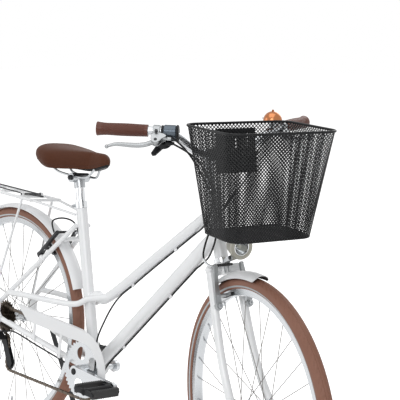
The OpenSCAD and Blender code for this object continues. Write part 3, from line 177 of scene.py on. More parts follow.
def seen_directly(tree):
    """1 where a ray comes from the camera, a mirror or glass, so that these see the plain white."""
    path = add(tree, "ShaderNodeLightPath")
    seen = path.outputs["Is Camera Ray"]
    for kind in ("Is Glossy Ray", "Is Transmission Ray"):
        seen = add(tree, "ShaderNodeMath", {0: seen, 1: path.outputs[kind]}, operation="MAXIMUM").outputs[0]
    return seen


scene = bpy.context.scene
scene.view_settings.view_transform = "Standard"
world = bpy.data.worlds.new("white surround")
scene.world = world
world.use_nodes = True
world.node_tree.nodes.clear()
sky = world.node_tree
ambient = add(sky, "ShaderNodeBackground", {"Color": colour("#FFFFFF"), "Strength": AMBIENT})
plain = add(sky, "ShaderNodeBackground", {"Color": colour("#FFFFFF"), "Strength": PLAIN_WHITE})
surround = add(sky, "ShaderNodeMixShader",
               {0: seen_directly(sky), 1: ambient.outputs[0], 2: plain.outputs[0]})
add(sky, "ShaderNodeOutputWorld", {"Surface": surround.outputs[0]})
print("surround:", AMBIENT, "for light,", PLAIN_WHITE, "for the eye")

# %% Lamps
MIDDLE = (0.1, 0.0, 0.6)


def lamp(name, place, size, power):
    """A square soft box at place, facing the bicycle's middle, in metres and watts."""
    light = bpy.data.objects.new(name, bpy.data.lights.new(name, "AREA"))
    light.data.size = size
    light.data.energy = power
    light.location = place
    light.rotation_euler = (Vector(MIDDLE) - Vector(place)).to_track_quat("-Z", "Y").to_euler()
    scene.collection.objects.link(light)


lamp("overhead", (0.4, -0.6, 3.4), 2.6, 27)
lamp("key", (2.2, -2.8, 2.4), 1.8, 30)
lamp("side_fill", (-2.2, -2.6, 1.6), 1.8, 15)
lamp("rim_light", (-0.8, 3.0, 2.2), 1.8, 20)

# %% Floor
FLOOR_HALF = 12.0
PAPER_GLOW = 0.7
corners = [(x * FLOOR_HALF, y * FLOOR_HALF, 0) for x, y in ((-1, -1), (1, -1), (1, 1), (-1, 1))]
floor_mesh = bpy.data.meshes.new("studio_floor")
floor_mesh.from_pydata(corners, [], [(0, 1, 2, 3)])
floor = bpy.data.objects.new("studio_floor", floor_mesh)
scene.collection.objects.link(floor)
sweep_paper = bpy.data.materials.new("white paper sweep")
sweep_paper.use_nodes = True
sheet = sweep_paper.node_tree
sheet.nodes.clear()
paper = add(sheet, "ShaderNodeBsdfDiffuse", {"Color": colour("#F4F4F4")})
bright = add(sheet, "ShaderNodeEmission", {"Color": colour("#FFFFFF"), "Strength": PAPER_GLOW})
lit_paper = add(sheet, "ShaderNodeAddShader", {0: paper.outputs[0], 1: bright.outputs[0]})
floor_mix = add(sheet, "ShaderNodeMixShader",
                {0: seen_directly(sheet), 1: paper.outputs[0], 2: lit_paper.outputs[0]})
add(sheet, "ShaderNodeOutputMaterial", {"Surface": floor_mix.outputs[0]})
floor_mesh.materials.append(sweep_paper)
print("floor:", 2 * FLOOR_HALF, "m across")

# %% [markdown]
# Finishes. Each one starts from the real material and how its surface was made. Most are one Principled
# shader whose roughness and bump come from a pattern at a real size, so that a close view shows the
# surface and a far one only its gloss. Patterns use object coordinates, which are the frame's metres.

# %% A finish from a name, a colour and a surface pattern
DRIFT_PER_M = 9.0
LEAST_ROUGH = 0.02


def finish(name, hex_code, roughness, metallic=0.0, grain_mm=1.0, bump_mm=0.02, spread=0.06, tone="",
           stretch=(1, 1, 1), **sockets):
    """A surface whose grain is grain_mm across and bump_mm deep, and whose roughness varies by spread.
    tone is a second colour that the grain drifts to, and sockets are the shader's other constants."""
    made = bpy.data.materials.new(name)
    made.use_nodes = True
    tree = made.node_tree
    tree.nodes.clear()
    coords = add(tree, "ShaderNodeTexCoord")
    mapped = add(tree, "ShaderNodeMapping", {"Vector": coords.outputs["Object"], "Scale": stretch})
    grain = add(tree, "ShaderNodeTexNoise", {"Vector": mapped.outputs[0], "Scale": 1 / (grain_mm * MM),
                                             "Detail": 3.0})
    drift = add(tree, "ShaderNodeTexNoise", {"Vector": coords.outputs["Object"], "Scale": DRIFT_PER_M,
                                             "Detail": 2.0})
    rough = add(tree, "ShaderNodeMapRange", {"Value": grain.outputs["Fac"],
                                             "To Min": max(LEAST_ROUGH, roughness - spread),
                                             "To Max": roughness + spread})
    relief = add(tree, "ShaderNodeBump", {"Height": grain.outputs["Fac"], "Distance": bump_mm * MM,
                                          "Strength": 1.0})
    shader = add(tree, "ShaderNodeBsdfPrincipled", {"Base Color": colour(hex_code), "Metallic": metallic,
                                                    "Roughness": rough.outputs[0],
                                                    "Normal": relief.outputs[0]})
    if tone:
        mixed = add(tree, "ShaderNodeMix", {"Factor": drift.outputs["Fac"]}, data_type="RGBA")
        mixed.inputs["A"].default_value = colour(hex_code)
        mixed.inputs["B"].default_value = colour(tone)
        tree.links.new(mixed.outputs["Result"], shader.inputs["Base Color"])
    for key, value in sockets.items():
        shader.inputs[key.replace("_", " ").title().replace("Ior", "IOR")].default_value = value
    add(tree, "ShaderNodeOutputMaterial", {"Surface": shader.outputs[0]})
    return made


print("finish: grain and bump in millimetres, drift", DRIFT_PER_M, "to the metre")

# %% Painted and moulded finishes
# Baked gloss enamel over steel or alloy tube: a smooth white with a faint orange peel under a clear coat.
white_enamel = finish("gloss white enamel", "#F4F5F6", 0.24, grain_mm=2.2, bump_mm=0.006, tone="#EEF0F2",
                      coat_weight=0.6, coat_roughness=0.06)
# Injection-moulded white plastic of the guards: softer gloss than the enamel.
white_moulded = finish("white moulded plastic", "#F2F3F4", 0.34, grain_mm=1.2, bump_mm=0.008, tone="#ECEDEF")
# Moulded black nylon, finely sparked in the mould: a dull, even black.
black_nylon = finish("black moulded nylon", "#17181A", 0.5, grain_mm=0.5, bump_mm=0.02, tone="#202124",
                     specular_ior_level=0.22)
# Black polyester powder coat on the basket's expanded steel: deep black with a soft sheen.
black_powder = finish("black powder coat", "#0E0F11", 0.45, grain_mm=0.7, bump_mm=0.02, tone="#141517",
                      specular_ior_level=0.22)
# Extruded black cable housing: smooth, with a long soft highlight.
cable_black = finish("black PVC housing", "#121315", 0.45, grain_mm=0.9, bump_mm=0.006,
                     specular_ior_level=0.25)
# Brown tyre rubber: matte, with a dusty drift of tone.
brown_rubber = finish("brown tyre rubber", "#7E5442", 0.62, grain_mm=0.9, bump_mm=0.03, tone="#8A6150")
# Silver-grey paint on the lamp's plastic: a fine metallic flake.
lamp_silver = finish("silver paint on ABS", "#A9A79C", 0.34, metallic=0.55, grain_mm=0.5, bump_mm=0.004,
                     tone="#98968C")
print("materials now, with the frame's own:", len(bpy.data.materials))

# %% Metal finishes
# Polished aluminium, buffed round: bright, with fine hazy streaks.
polished_alloy = finish("polished aluminium", "#C4C6C8", 0.24, metallic=1.0, grain_mm=0.8, bump_mm=0.004,
                        tone="#B4B7BA")
# Satin forged aluminium of levers and brake arms: a blasted, silvery grey.
satin_alloy = finish("satin forged aluminium", "#A6A8A9", 0.4, metallic=1.0, grain_mm=0.6, bump_mm=0.012,
                     tone="#909395")
# Drawn stainless wire of the spokes: greyer and duller than the plated parts.
spoke_wire = finish("drawn stainless wire", "#83817F", 0.38, metallic=1.0, grain_mm=1.0, bump_mm=0.004,
                    tone="#747270")
# Zinc-plated steel of nuts, bolts and rails: pale and slightly cloudy.
bright_steel = finish("bright zinc-plated steel", "#B9BBBD", 0.3, metallic=1.0, grain_mm=0.9, bump_mm=0.006,
                      tone="#A2A5A8")
# Chrome plate over polished steel: a mirror with almost no grain.
chrome_plate = finish("chrome plate", "#DEE0E2", 0.07, metallic=1.0, grain_mm=3.0, bump_mm=0.001,
                      spread=0.02)
# Hardened, oiled sprocket steel: darker, slightly brown where the oil lies.
oiled_steel = finish("oiled sprocket steel", "#6E6760", 0.38, metallic=1.0, grain_mm=1.4, bump_mm=0.01,
                     tone="#54493E")
# Blackened steel fittings: a soft, dark sheen.
dark_steel = finish("black phosphated steel", "#3A3B3D", 0.42, metallic=0.6, grain_mm=0.8, bump_mm=0.012,
                    tone="#2B2C2E")
# Retro-reflective band, glass beads under a film: pale grey without a direct light on it.
reflex_band = finish("retro-reflective band", "#B9BEC0", 0.42, metallic=0.35, grain_mm=0.4, bump_mm=0.004,
                     tone="#A8AEB1")
# Copper-coloured lacquered bell metal: warm and glossy.
copper_lacquer = finish("copper lacquer on brass", "#B97E58", 0.2, metallic=1.0, grain_mm=1.6, bump_mm=0.004,
                        tone="#AC6E48")
# Anodised cover of the shifter: a blue grey with a satin gloss.
anodised_grey = finish("blue-grey anodised cover", "#4C545D", 0.3, metallic=0.7, grain_mm=0.5, bump_mm=0.004,
                       tone="#5D666E")
print("materials now:", len(bpy.data.materials))

# %% [markdown]
# Most solids already have their real shape, so they only need a finish. A list of finishes, each with its
# nodes, keeps this readable, and a node that isn't named would show up in the printed remainder.

# %% Finishes on the solids
cad_finishes = [
    (white_enamel, "head_tube main_tube down_tube seat_tube chain_stays seat_stays twin_stays fork carrier"),
    (white_moulded, "rear_mudguard front_mudguard chain_guard"),
    (polished_alloy, "handlebar stem front_rim rear_rim front_hub rear_hub crankset"),
    (satin_alloy, "lever_brackets lever_left lever_right front_arm_left front_arm_right"),
    (bright_steel, "seat_clamp rear_axle front_axle saddle_rails bell_base bell_lever lamp_bracket"),
    (spoke_wire, "front_spokes rear_spokes"),
    (chrome_plate, "seatpost seat_collar headset_cups"),
    (oiled_steel, "cassette chain"),
    (dark_steel, "stand rear_arm_left rear_arm_right carrier_clip"),
    (black_nylon, "saddle_base basket_holder basket_plate shift_lever pedal_left pedal_right derailleur"),
    (black_powder, "basket"),
    (cable_black, "frame_cables cable_loops front_brake_cable"),
    (brown_rubber, "front_tyre rear_tyre saddle grips"),
    (copper_lacquer, "bell"),
    (lamp_silver, "headlamp"),
    (anodised_grey, "shifter_body"),
]
bare = set(frame["nodes"])
for coat, names in cad_finishes:
    for name in names.split():
        solid = frame["nodes"][name]
        solid.data.materials.clear()
        solid.data.materials.append(coat)
        bare.discard(name)
print("solids without a finish:", sorted(bare))

# %% [markdown]
# Small mesh tools. Nearly everything on a bicycle is a tube, a turned part or a lofted skin, so three
# makers cover it: a tube swept along a route, a profile turned about an axis, and rings joined by quads.
# All of them return points and faces in millimetres, and one function turns those into a piece in the
# frame.

# %% Curves and rings


def round_angles(count):
    """Equal angles once round, from 0."""
    return [2 * math.pi * k / count for k in range(count)]


def eased(t):
    """A share from 0 to 1 that starts and stops gently, held at its ends."""
    t = min(1, max(0, t))
    return t * t * (3 - 2 * t)


def through(points, steps):
    """A smooth Catmull-Rom curve through points, with steps to each span."""
    points = [Vector(p) for p in points]
    last = len(points) - 1
    out = []
    for i in range(last):
        a, b = points[max(i - 1, 0)], points[i]
        c, d = points[i + 1], points[min(i + 2, last)]
        for k in range(steps):
            t = k / steps
            out.append(0.5 * (2 * b + (c - a) * t + (2 * a - 5 * b + 4 * c - d) * t * t
                              + (3 * b - a - 3 * c + d) * t * t * t))
    return out + [points[last]]


def join_rings(rings, closed=False, caps=True):
    """Quads between rings of equal length. closed joins the last ring to the first."""
    n = len(rings[0])
    points = [p for ring in rings for p in ring]
    faces = []
    for i in range(len(rings) if closed else len(rings) - 1):
        a, b = i * n, (i + 1) % len(rings) * n
        faces += [(a + k, a + (k + 1) % n, b + (k + 1) % n, b + k) for k in range(n)]
    if caps and not closed:
        faces += [tuple(reversed(range(n))), tuple(range((len(rings) - 1) * n, len(rings) * n))]
    return points, faces


print("points through three knots in fours:", len(through([(0, 0, 0), (1, 0, 0), (1, 1, 0)], 4)))

# %% Tubes and turned parts


def tube(route, radius, sides=12, closed=False):
    """A round tube along a route. radius is one number, or one for each point."""
    route = [Vector(p) for p in route]
    n = len(route)
    radii = [radius] * n if isinstance(radius, (int, float)) else list(radius)
    rings = []
    side = None
    for i, p in enumerate(route):
        before = route[i - 1] if closed or i else p
        after = route[(i + 1) % n] if closed or i < n - 1 else p
        ahead = (after - before).normalized()
        if side is None:
            side = ahead.orthogonal().normalized()
        side = (side - ahead * side.dot(ahead)).normalized()
        other = ahead.cross(side)
        rings.append([p + (side * math.cos(a) + other * math.sin(a)) * radii[i]
                      for a in round_angles(sides)])
    return join_rings(rings, closed)


def turned(profile, place, steps=48, closed_profile=True):
    """A profile of (along the axis, radius) turned about the Z of the matrix place."""
    n = len(profile)
    points = [place @ Vector((r * math.cos(a), r * math.sin(a), z))
              for a in round_angles(steps) for z, r in profile]
    faces = []
    for k in range(steps):
        a, b = k * n, (k + 1) % steps * n
        for i in range(n if closed_profile else n - 1):
            j = (i + 1) % n
            faces.append((a + i, b + i, b + j, a + j))
    return points, faces


def aimed(origin, along, toward=(0, 0, 1)):
    """A matrix at origin whose Z points along and whose X is nearest to toward."""
    z = Vector(along).normalized()
    x = Vector(toward)
    x = (x - z * x.dot(z)).normalized()
    y = z.cross(x)
    return Matrix.Translation(Vector(origin)) @ Matrix((x, y, z)).transposed().to_4x4()


def merged(*parts):
    """Several (points, faces) as one."""
    points, faces = [], []
    for more, their in parts:
        faces += [tuple(i + len(points) for i in f) for f in their]
        points += list(more)
    return points, faces


print("a tube of two rings has", len(tube([(0, 0, 0), (0, 0, 1)], 1)[1]), "faces")

# %% From points and faces to a piece in the frame
SMOOTH_BELOW = math.radians(40)


def piece(name, shape, place, body, coat, smooth=True, levels=0, crease_angle=SMOOTH_BELOW):
    """A mesh object from (points, faces) in millimetres, carried by place, that rides on a body."""
    points, faces = shape
    mesh = bpy.data.meshes.new(name)
    mesh.from_pydata([place @ Vector(p) for p in points], [], faces)
    made = bpy.data.objects.new(name, mesh)
    scene.collection.objects.link(made)
    mesh.validate()
    shell = bmesh.new()
    shell.from_mesh(mesh)
    bmesh.ops.recalc_face_normals(shell, faces=shell.faces)
    shell.to_mesh(mesh)
    shell.free()
    if levels:
        rounder = made.modifiers.new("rounder", "SUBSURF")
        rounder.levels = rounder.render_levels = levels
    mesh.materials.append(coat)
    if smooth:
        bpy.context.view_layer.objects.active = made
        mesh.shade_smooth()
        mesh.set_sharp_from_angle(angle=crease_angle)
    if body:
        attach(made, body)
    return made


print("edges turn sharp above", round(math.degrees(SMOOTH_BELOW)), "degrees")

# %% [markdown]
# The basket. The real one is expanded steel: a slit sheet pulled open into diamonds, folded into a tapered
# tub, hung on a round wire rim. A texture would lose its see-through depth, so every strand is a small bar.
# The strands run between points on the tub's wall, which lies between a round-cornered rim and a smaller
# floor.

# %% Basket sizes and its wall
BASKET_W, BASKET_L, BASKET_H = 300.0, 246.0, 262.0
FLOOR_W, FLOOR_L = 230.0, 170.0
CORNER_R = 38.0
WALL_T = 2.0
floor_top = on_bars(mount["basket_floor"]["pos_m"])
rim_middle = floor_top + Vector((0, 0, BASKET_H - WALL_T))


def round_box(length, width, share):
    """The point at a share of the way round a box with round corners."""
    straight = [width - 2 * CORNER_R, length - 2 * CORNER_R] * 2
    arc = math.pi / 2 * CORNER_R
    walk = share % 1 * (sum(straight) + 4 * arc)
    x, y = length / 2, -width / 2 + CORNER_R
    heading = math.pi / 2
    for run in straight:
        ahead = Vector((math.cos(heading), math.sin(heading)))
        left = Vector((-ahead.y, ahead.x))
        if walk < run:
            return Vector((x, y)) + ahead * walk
        walk -= run
        x, y = Vector((x, y)) + ahead * run
        if walk < arc:
            a = walk / CORNER_R
            return Vector((x, y)) + ahead * CORNER_R * math.sin(a) + left * CORNER_R * (1 - math.cos(a))
        walk -= arc
        x, y = Vector((x, y)) + (ahead + left) * CORNER_R
        heading += math.pi / 2
    return Vector((x, y))


def wall_point(share, drop, inset=0.0):
    """A point on the basket's wall, drop from 0 at the rim to 1 at the floor."""
    rim = round_box(BASKET_L - 2 * inset, BASKET_W - 2 * inset, share)
    low = round_box(FLOOR_L - 2 * inset, FLOOR_W - 2 * inset, share)
    flat = rim.lerp(low, drop)
    return rim_middle + Vector((flat.x, flat.y, -BASKET_H * drop))


print("basket rim", BASKET_W, "x", BASKET_L, "mm, floor", FLOOR_W, "x", FLOOR_L, "mm")

# %% Basket's mesh
# Diamonds round the rim and half rows down, and the strand's section. The real diamonds are about 6.5 mm
# wide, too fine for the picture, so they are drawn at about 10 mm, as coarse as they need to be to show.
DIAMONDS = 100
HALF_ROWS = 56
STRAND_W, STRAND_T, STRAND_LAP = 2.3, 1.1, 0.3
FLOOR_PITCH, FLOOR_EDGE = 9.0, 1.5


def strand(a, b, out):
    """One bar of the mesh from a to b, STRAND_W wide in the sheet and STRAND_T through it."""
    ahead = (b - a).normalized()
    across = ahead.cross(out).normalized() * STRAND_W / 2
    through_sheet = out.normalized() * STRAND_T / 2
    ends = [[p + across + through_sheet, p - across + through_sheet, p - across - through_sheet,
             p + across - through_sheet] for p in (a - ahead * STRAND_LAP, b + ahead * STRAND_LAP)]
    return join_rings(ends)


def wall_mesh():
    """The strands of the wall, two down from every crossing."""
    parts = []
    for j in range(HALF_ROWS):
        for i in range(DIAMONDS):
            start = i + 0.5 * (j % 2)
            a = wall_point(start / DIAMONDS, j / HALF_ROWS, STRAND_T / 2)
            for step in (-0.5, 0.5):
                b = wall_point((start + step) / DIAMONDS, (j + 1) / HALF_ROWS, STRAND_T / 2)
                middle = (a + b) / 2 - rim_middle
                parts.append(strand(a, b, Vector((middle.x, middle.y, 0))))
    return merged(*parts)


def floor_strands():
    """The same diamonds laid flat, inside the floor's round corners."""
    parts = []
    z = floor_top.z - WALL_T / 2
    rows = int(FLOOR_W / FLOOR_PITCH * 2)
    columns = int(FLOOR_L / FLOOR_PITCH)

    def inside(x, y):
        dx = max(0, abs(x) - FLOOR_L / 2 + CORNER_R)
        dy = max(0, abs(y) - FLOOR_W / 2 + CORNER_R)
        return math.hypot(dx, dy) < CORNER_R - FLOOR_EDGE

    for j in range(rows):
        y0 = -FLOOR_W / 2 + j * FLOOR_PITCH / 2
        for i in range(columns + 1):
            x0 = -FLOOR_L / 2 + (i + 0.5 * (j % 2)) * FLOOR_PITCH
            for step in (-0.5, 0.5):
                x1, y1 = x0 + step * FLOOR_PITCH, y0 + FLOOR_PITCH / 2
                if inside(x0, y0) and inside(x1, y1):
                    a = Vector((floor_top.x + x0, floor_top.y + y0, z))
                    b = Vector((floor_top.x + x1, floor_top.y + y1, z))
                    parts.append(strand(a, b, Vector((0, 0, 1))))
    return merged(*parts)


mesh_parts = [wall_mesh(), floor_strands()]
print("basket strands:", sum(len(faces) for _, faces in mesh_parts) // 6)

# %% Basket's wires
RIM_WIRE_R, LOW_WIRE_R, RUNNER_R = 3.2, 2.2, 1.6
RIM_STEPS = 120
RUNNER_Y, RUNNER_END, RUNNER_BEND, RUNNER_DROP = 45, 2, 12, 3.5
rim_route = [wall_point(k / RIM_STEPS, 0) for k in range(RIM_STEPS)]
wire_up = Vector((0, 0, LOW_WIRE_R * 0.6))
low_route = [wall_point(k / RIM_STEPS, 1, LOW_WIRE_R / 2) + wire_up for k in range(RIM_STEPS)]
wires = [tube(rim_route, RIM_WIRE_R, 12, closed=True), tube(low_route, LOW_WIRE_R, 8, closed=True)]
# Two runners under the floor, bent up at their ends, that the tub stands on when it is off the bicycle
end_x, bend_x = FLOOR_L / 2 - RUNNER_END, FLOOR_L / 2 - RUNNER_BEND
sagging = ((-end_x, 0), (-bend_x, -RUNNER_DROP), (0, -RUNNER_DROP - 0.3), (bend_x, -RUNNER_DROP), (end_x, 0))
for y in (-RUNNER_Y, RUNNER_Y):
    runner = [floor_top + Vector((x, y, z)) for x, z in sagging]
    wires.append(tube(through(runner, 4), RUNNER_R, 8))
basket_skin = piece("basket_mesh", merged(*mesh_parts, *wires), BARS, "basket", black_powder)
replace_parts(basket_skin, "basket")
print("basket wires:", len(wires))

# %% [markdown]
# The saddle: a foam pad under a stretched brown cover. A cloth simulation could stretch the cover, but its
# shape is set by a moulded shell, so formulas for its width, crown and hem follow the real outline more
# closely. They take a share of the length, from the rounded tail (0) to the nose (1).

# %% Saddle's outlines
SADDLE_LEN, SADDLE_W, SADDLE_H = 272.0, 205.0, 58.0
CLAMP_UP, CLAMP_FROM_TAIL, SADDLE_UP = 568.0, 142.0, 18.0
clamp_top = bb + seat_dir * CLAMP_UP
saddle_at = Vector((clamp_top.x - CLAMP_FROM_TAIL, 0, clamp_top.z + SADDLE_UP))
# Shares of the length where the outline changes, and the nose's share of the width
WIDEST, NOSE_FROM, NOSE_WIDE = 0.32, 0.9, 0.17
TAIL_FALLS, CROWN_LOW, NOSE_FALLS = 0.16, 0.62, 0.88
CROWN_UP = 19


def saddle_half(u):
    """Half width at a share of the length: a round tail, a waist and a narrow nose."""
    if u < WIDEST:
        w = math.sqrt(1 - ((WIDEST - u) / 0.325) ** 2.6)
    else:
        waist = max(0.0, math.cos(min(1, (u - WIDEST) / 0.45) * math.pi / 2)) ** 1.5
        w = NOSE_WIDE + (1 - NOSE_WIDE) * waist
    return SADDLE_W / 2 * w * (math.sqrt(1 - ((u - NOSE_FROM) / 0.103) ** 2) if u > NOSE_FROM else 1)


def saddle_crown(u):
    """Height of the top, dished from the tail to the nose."""
    h = 0.99 - 0.2 * math.sin(min(1, u / CROWN_LOW) * math.pi / 2) + 0.04 * u
    h *= 1 - 0.34 * ((u - NOSE_FALLS) / (1 - NOSE_FALLS)) ** 2.4 if u > NOSE_FALLS else 1
    h *= 1 - 0.4 * ((TAIL_FALLS - u) / TAIL_FALLS) ** 2.2 if u < TAIL_FALLS else 1
    return SADDLE_H * h + CROWN_UP


def tail_share(u):
    """From 0 ahead of the widest place to 1 at the tail's end."""
    return max(0, (0.42 - u) / 0.42)


def saddle_hem(u):
    """Height of the cover's lower edge, which climbs along the nose and round the tail."""
    nose = max(0, (u - 0.35) / 0.65)
    tip = max(0, (u - 0.74) / 0.26)
    return 4 + 22 * nose ** 1.3 + 12 * tip ** 1.8 + 25 * tail_share(u) ** 1.6


def hem_half(u):
    """Half width at the hem, drawn in under the sides, and further round the tail."""
    return max(3, saddle_half(u)) * (0.91 - 0.14 * tail_share(u))


print("saddle's tail at", tuple(round(c) for c in saddle_at))
print("saddle's nose", round(2 * saddle_half(NOSE_FROM)), "mm wide")

# %% [markdown]
# Its crown, the drawn-in sides and the skirt that folds under the edge are lofted ring by ring. The hem
# climbs at the nose, so the black base shows there, and a sewn line runs round above the hem.

# %% Saddle's cover
HEM_TURN = 3.0
CROWN_POINTS, SIDE_POINTS, SADDLE_RINGS = 26, 8, 73
# Grained synthetic leather, stretched over foam: dark, with only a soft gloss.
saddle_hide = finish("dark brown saddle cover", "#4D2B1C", 0.5, grain_mm=1.3, bump_mm=0.05, tone="#573526",
                     specular_ior_level=0.12)


def saddle_section(u):
    """Half of one section, from the top's middle out and down to the hem, as (y, z)."""
    w, t, low = max(3, saddle_half(u)), saddle_crown(u), saddle_hem(u)
    waist = low + (t - low) * 0.42
    out = []
    for k in range(CROWN_POINTS):
        a = math.pi / 2 * k / (CROWN_POINTS - 1)
        out.append((w * math.sin(a) ** 0.74, waist + (t - waist) * math.cos(a) ** 0.8))
    for share in ((k + 1) / SIDE_POINTS for k in range(SIDE_POINTS)):
        out.append((w + (hem_half(u) - w) * share ** 2, waist + (low - waist) * share))
    inner = hem_half(u) - HEM_TURN
    return out + [(inner, low), (inner, low + 2 * HEM_TURN), (0, low + 2 * HEM_TURN)]


def on_saddle(u, section):
    """Points (y, z) of a section, placed at a share of the saddle's length."""
    return [saddle_at + Vector((u * SADDLE_LEN, y, z)) for y, z in section]


def cosine_shares(count):
    """Shares from 0 to 1 that lie closer together towards both ends."""
    return [0.5 - 0.5 * math.cos(math.pi * k / (count - 1)) for k in range(count)]


saddle_rings = []
for u in cosine_shares(SADDLE_RINGS):
    half = saddle_section(u)
    saddle_rings.append(on_saddle(u, half + [(-y, z) for y, z in half[-2:0:-1]]))


def closed_end(ring, step):
    """Three shrinking rings that round an open end off."""
    middle = sum(ring, Vector()) / len(ring)
    return [[middle + (p - middle) * s + Vector((step * x, 0, 0)) for p in ring]
            for s, x in ((0.8, 2.2), (0.45, 3.4), (0.06, 3.8))]


tail_end = closed_end(saddle_rings[0], -1)[::-1]
nose_end = closed_end(saddle_rings[-1], 1)
saddle_skin = piece("saddle_cover", join_rings(tail_end + saddle_rings + nose_end), BIKE, "seat",
                    saddle_hide, crease_angle=math.radians(60))
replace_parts(saddle_skin, "saddle")
print("saddle cover:", len(saddle_skin.data.polygons), "faces")

# %% Saddle's base and rails
# The moulded base lies inside the hem all round, and shows below it along the nose
NOSE_SHOWS, SHOWS_FROM, SHOWS_OVER = 6.0, 0.6, 0.15
BASE_GAP, BASE_SIDE_GAP, BASE_EDGE = 0.4, 0.3, 2.4
BASE_FROM, BASE_SPAN, BASE_RINGS = 0.03, 0.955, 49
base_rings = []
for u in (BASE_FROM + BASE_SPAN * i / (BASE_RINGS - 1) for i in range(BASE_RINGS)):
    low = saddle_hem(u) - BASE_GAP - NOSE_SHOWS * eased((u - SHOWS_FROM) / SHOWS_OVER)
    w, top = max(3, hem_half(u) - HEM_TURN - BASE_SIDE_GAP), saddle_hem(u) + HEM_TURN
    section = ((-w, top), (-w, low + BASE_EDGE), (-w + BASE_EDGE, low), (w - BASE_EDGE, low),
               (w, low + BASE_EDGE), (w, top))
    base_rings.append(on_saddle(u, section))
base_skin = piece("saddle_shell", join_rings(base_rings), BIKE, "seat", black_nylon)
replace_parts(base_skin, "saddle_base")

# Two rail wires, from sockets under the tail, through the clamp and up into the base ahead of it
RAIL_R, RAIL_Y, RAIL_UP = 3.5, 22.0, 5.0
rail_z = clamp_top.z + RAIL_UP
rails = []
for k in (-1, 1):
    knots = [saddle_at + Vector((38, k * 36, 11)), saddle_at + Vector((70, k * (RAIL_Y + 5), -8)),
             (clamp_top.x - 22, k * RAIL_Y, rail_z), (clamp_top.x + 22, k * RAIL_Y, rail_z),
             (clamp_top.x + 60, k * (RAIL_Y - 4), rail_z + 4), saddle_at + Vector((224, k * 10, 18))]
    rails.append(tube(through(knots, 10), RAIL_R, 20))
rail_skin = piece("saddle_rail_wires", merged(*rails), BIKE, "seat", bright_steel)
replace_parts(rail_skin, "saddle_rails")
print("rails", 2 * RAIL_Y, "mm apart in the clamp")

# %% Saddle's stitches
# Twisted thread: matte, a little darker than the hide. The line is a row of short stitches above the hem
SEAM_AT, SEAM_STEPS, SEAM_OUT = 30, 160, 0.25
SEAM_FROM, SEAM_SPAN = 0.012, 0.97
STITCH_RADII = [0.35, 0.6, 0.35]
thread = finish("brown sewing thread", "#3A2117", 0.7, grain_mm=0.3, bump_mm=0.03)
stitches = []
for sign in (-1, 1):
    line = []
    for u in (SEAM_FROM + SEAM_SPAN * k / SEAM_STEPS for k in range(SEAM_STEPS + 1)):
        y, z = saddle_section(u)[SEAM_AT]
        line += on_saddle(u, [(sign * (y + SEAM_OUT), z)])
    for k in range(0, SEAM_STEPS - 2, 2):
        dips = [line[k], (line[k] + line[k + 1]) / 2, line[k + 1].lerp(line[k + 2], 0.3)]
        stitches.append(tube(dips, STITCH_RADII, 6))
piece("saddle_stitches", merged(*stitches), BIKE, "seat", thread)
print("stitches:", len(stitches))

# %% [markdown]
# The cockpit's own frame: Z runs out along a grip, X reaches towards the brake lever, Y lies across. Both
# sides share one set of shapes, and a matrix for each side carries them to the bar.

# %% A frame on each grip
WHEELBASE, FORK_OFFSET = 1077.0, 50.0
head_base = Vector((WHEELBASE, 0, WHEEL_R)) - head_fwd * FORK_OFFSET
CLAMP_S, STEM_REACH, BAR_RISE, BAR_HALF = 664.09, 85.0, 68.0, 310.0
GRIP_IN, GRIP_RISE, BAR_BULGE, GRIP_BACK = 110, 27, 1, 66
TO_LEVER = (0.72, 0, -0.69)
LEFT, RIGHT = 1, -1
SIDES = ((LEFT, "left"), (RIGHT, "right"))


def on_head(s, f=0.0, y=0.0):
    """A point s up the steering axis from the axle's height, f ahead of it and y to the left."""
    return head_base + head_dir * s + head_fwd * f + Vector((0, y, 0))


def grip_frame(k):
    """The frame of one side's grip, at its inner end."""
    start = on_head(CLAMP_S + BAR_RISE, STEM_REACH + BAR_BULGE, k * (BAR_HALF - GRIP_IN))
    end = on_head(CLAMP_S + BAR_RISE + GRIP_RISE, STEM_REACH - GRIP_BACK, k * BAR_HALF)
    return aimed(start, end - start, TO_LEVER)


GRIP = {k: grip_frame(k) for k in (LEFT, RIGHT)}
print("grip starts at", tuple(round(c) for c in GRIP[RIGHT].translation))

# %% [markdown]
# The grips are brown leather over a rubber core, with crossed lines pressed into it. A bump pattern would
# look flat at the outline, so the lines are lofted into the skin, ring by ring.

# %% Grips
GRIP_LEN, GRIP_R, GRIP_BORE_R = 128.0, 15.3, 11.3
PALM_SWELL, END_FLARE, PRESS_DEEP, PRESS_HALF = 0.9, 2.6, 0.9, 0.14
PRESS_STARTS, PRESS_TURNS = 16, 16
# Smooth leather, waxed: reddish brown with a soft gloss.
grip_hide = finish("reddish brown grip leather", "#532513", 0.36, grain_mm=0.9, bump_mm=0.03, tone="#5E2C18",
                   specular_ior_level=0.4)


def grip_radius(z, a):
    """A grip's radius: a slight palm swell, a flared end, and a crossed pattern pressed into the cover."""
    t = z / GRIP_LEN
    swell = PALM_SWELL * math.sin(math.pi * min(1, t / 0.9)) ** 2
    flare = END_FLARE * max(0, (t - 0.8) / 0.2) ** 1.6
    lines = [abs((a / (2 * math.pi) * PRESS_STARTS + s * t * PRESS_TURNS) % 1 - 0.5) for s in (-1, 1)]
    pressed = max(0, (PRESS_HALF - min(lines)) / PRESS_HALF) if 0.06 < t < 0.9 else 0
    return GRIP_R + swell + flare - PRESS_DEEP * pressed


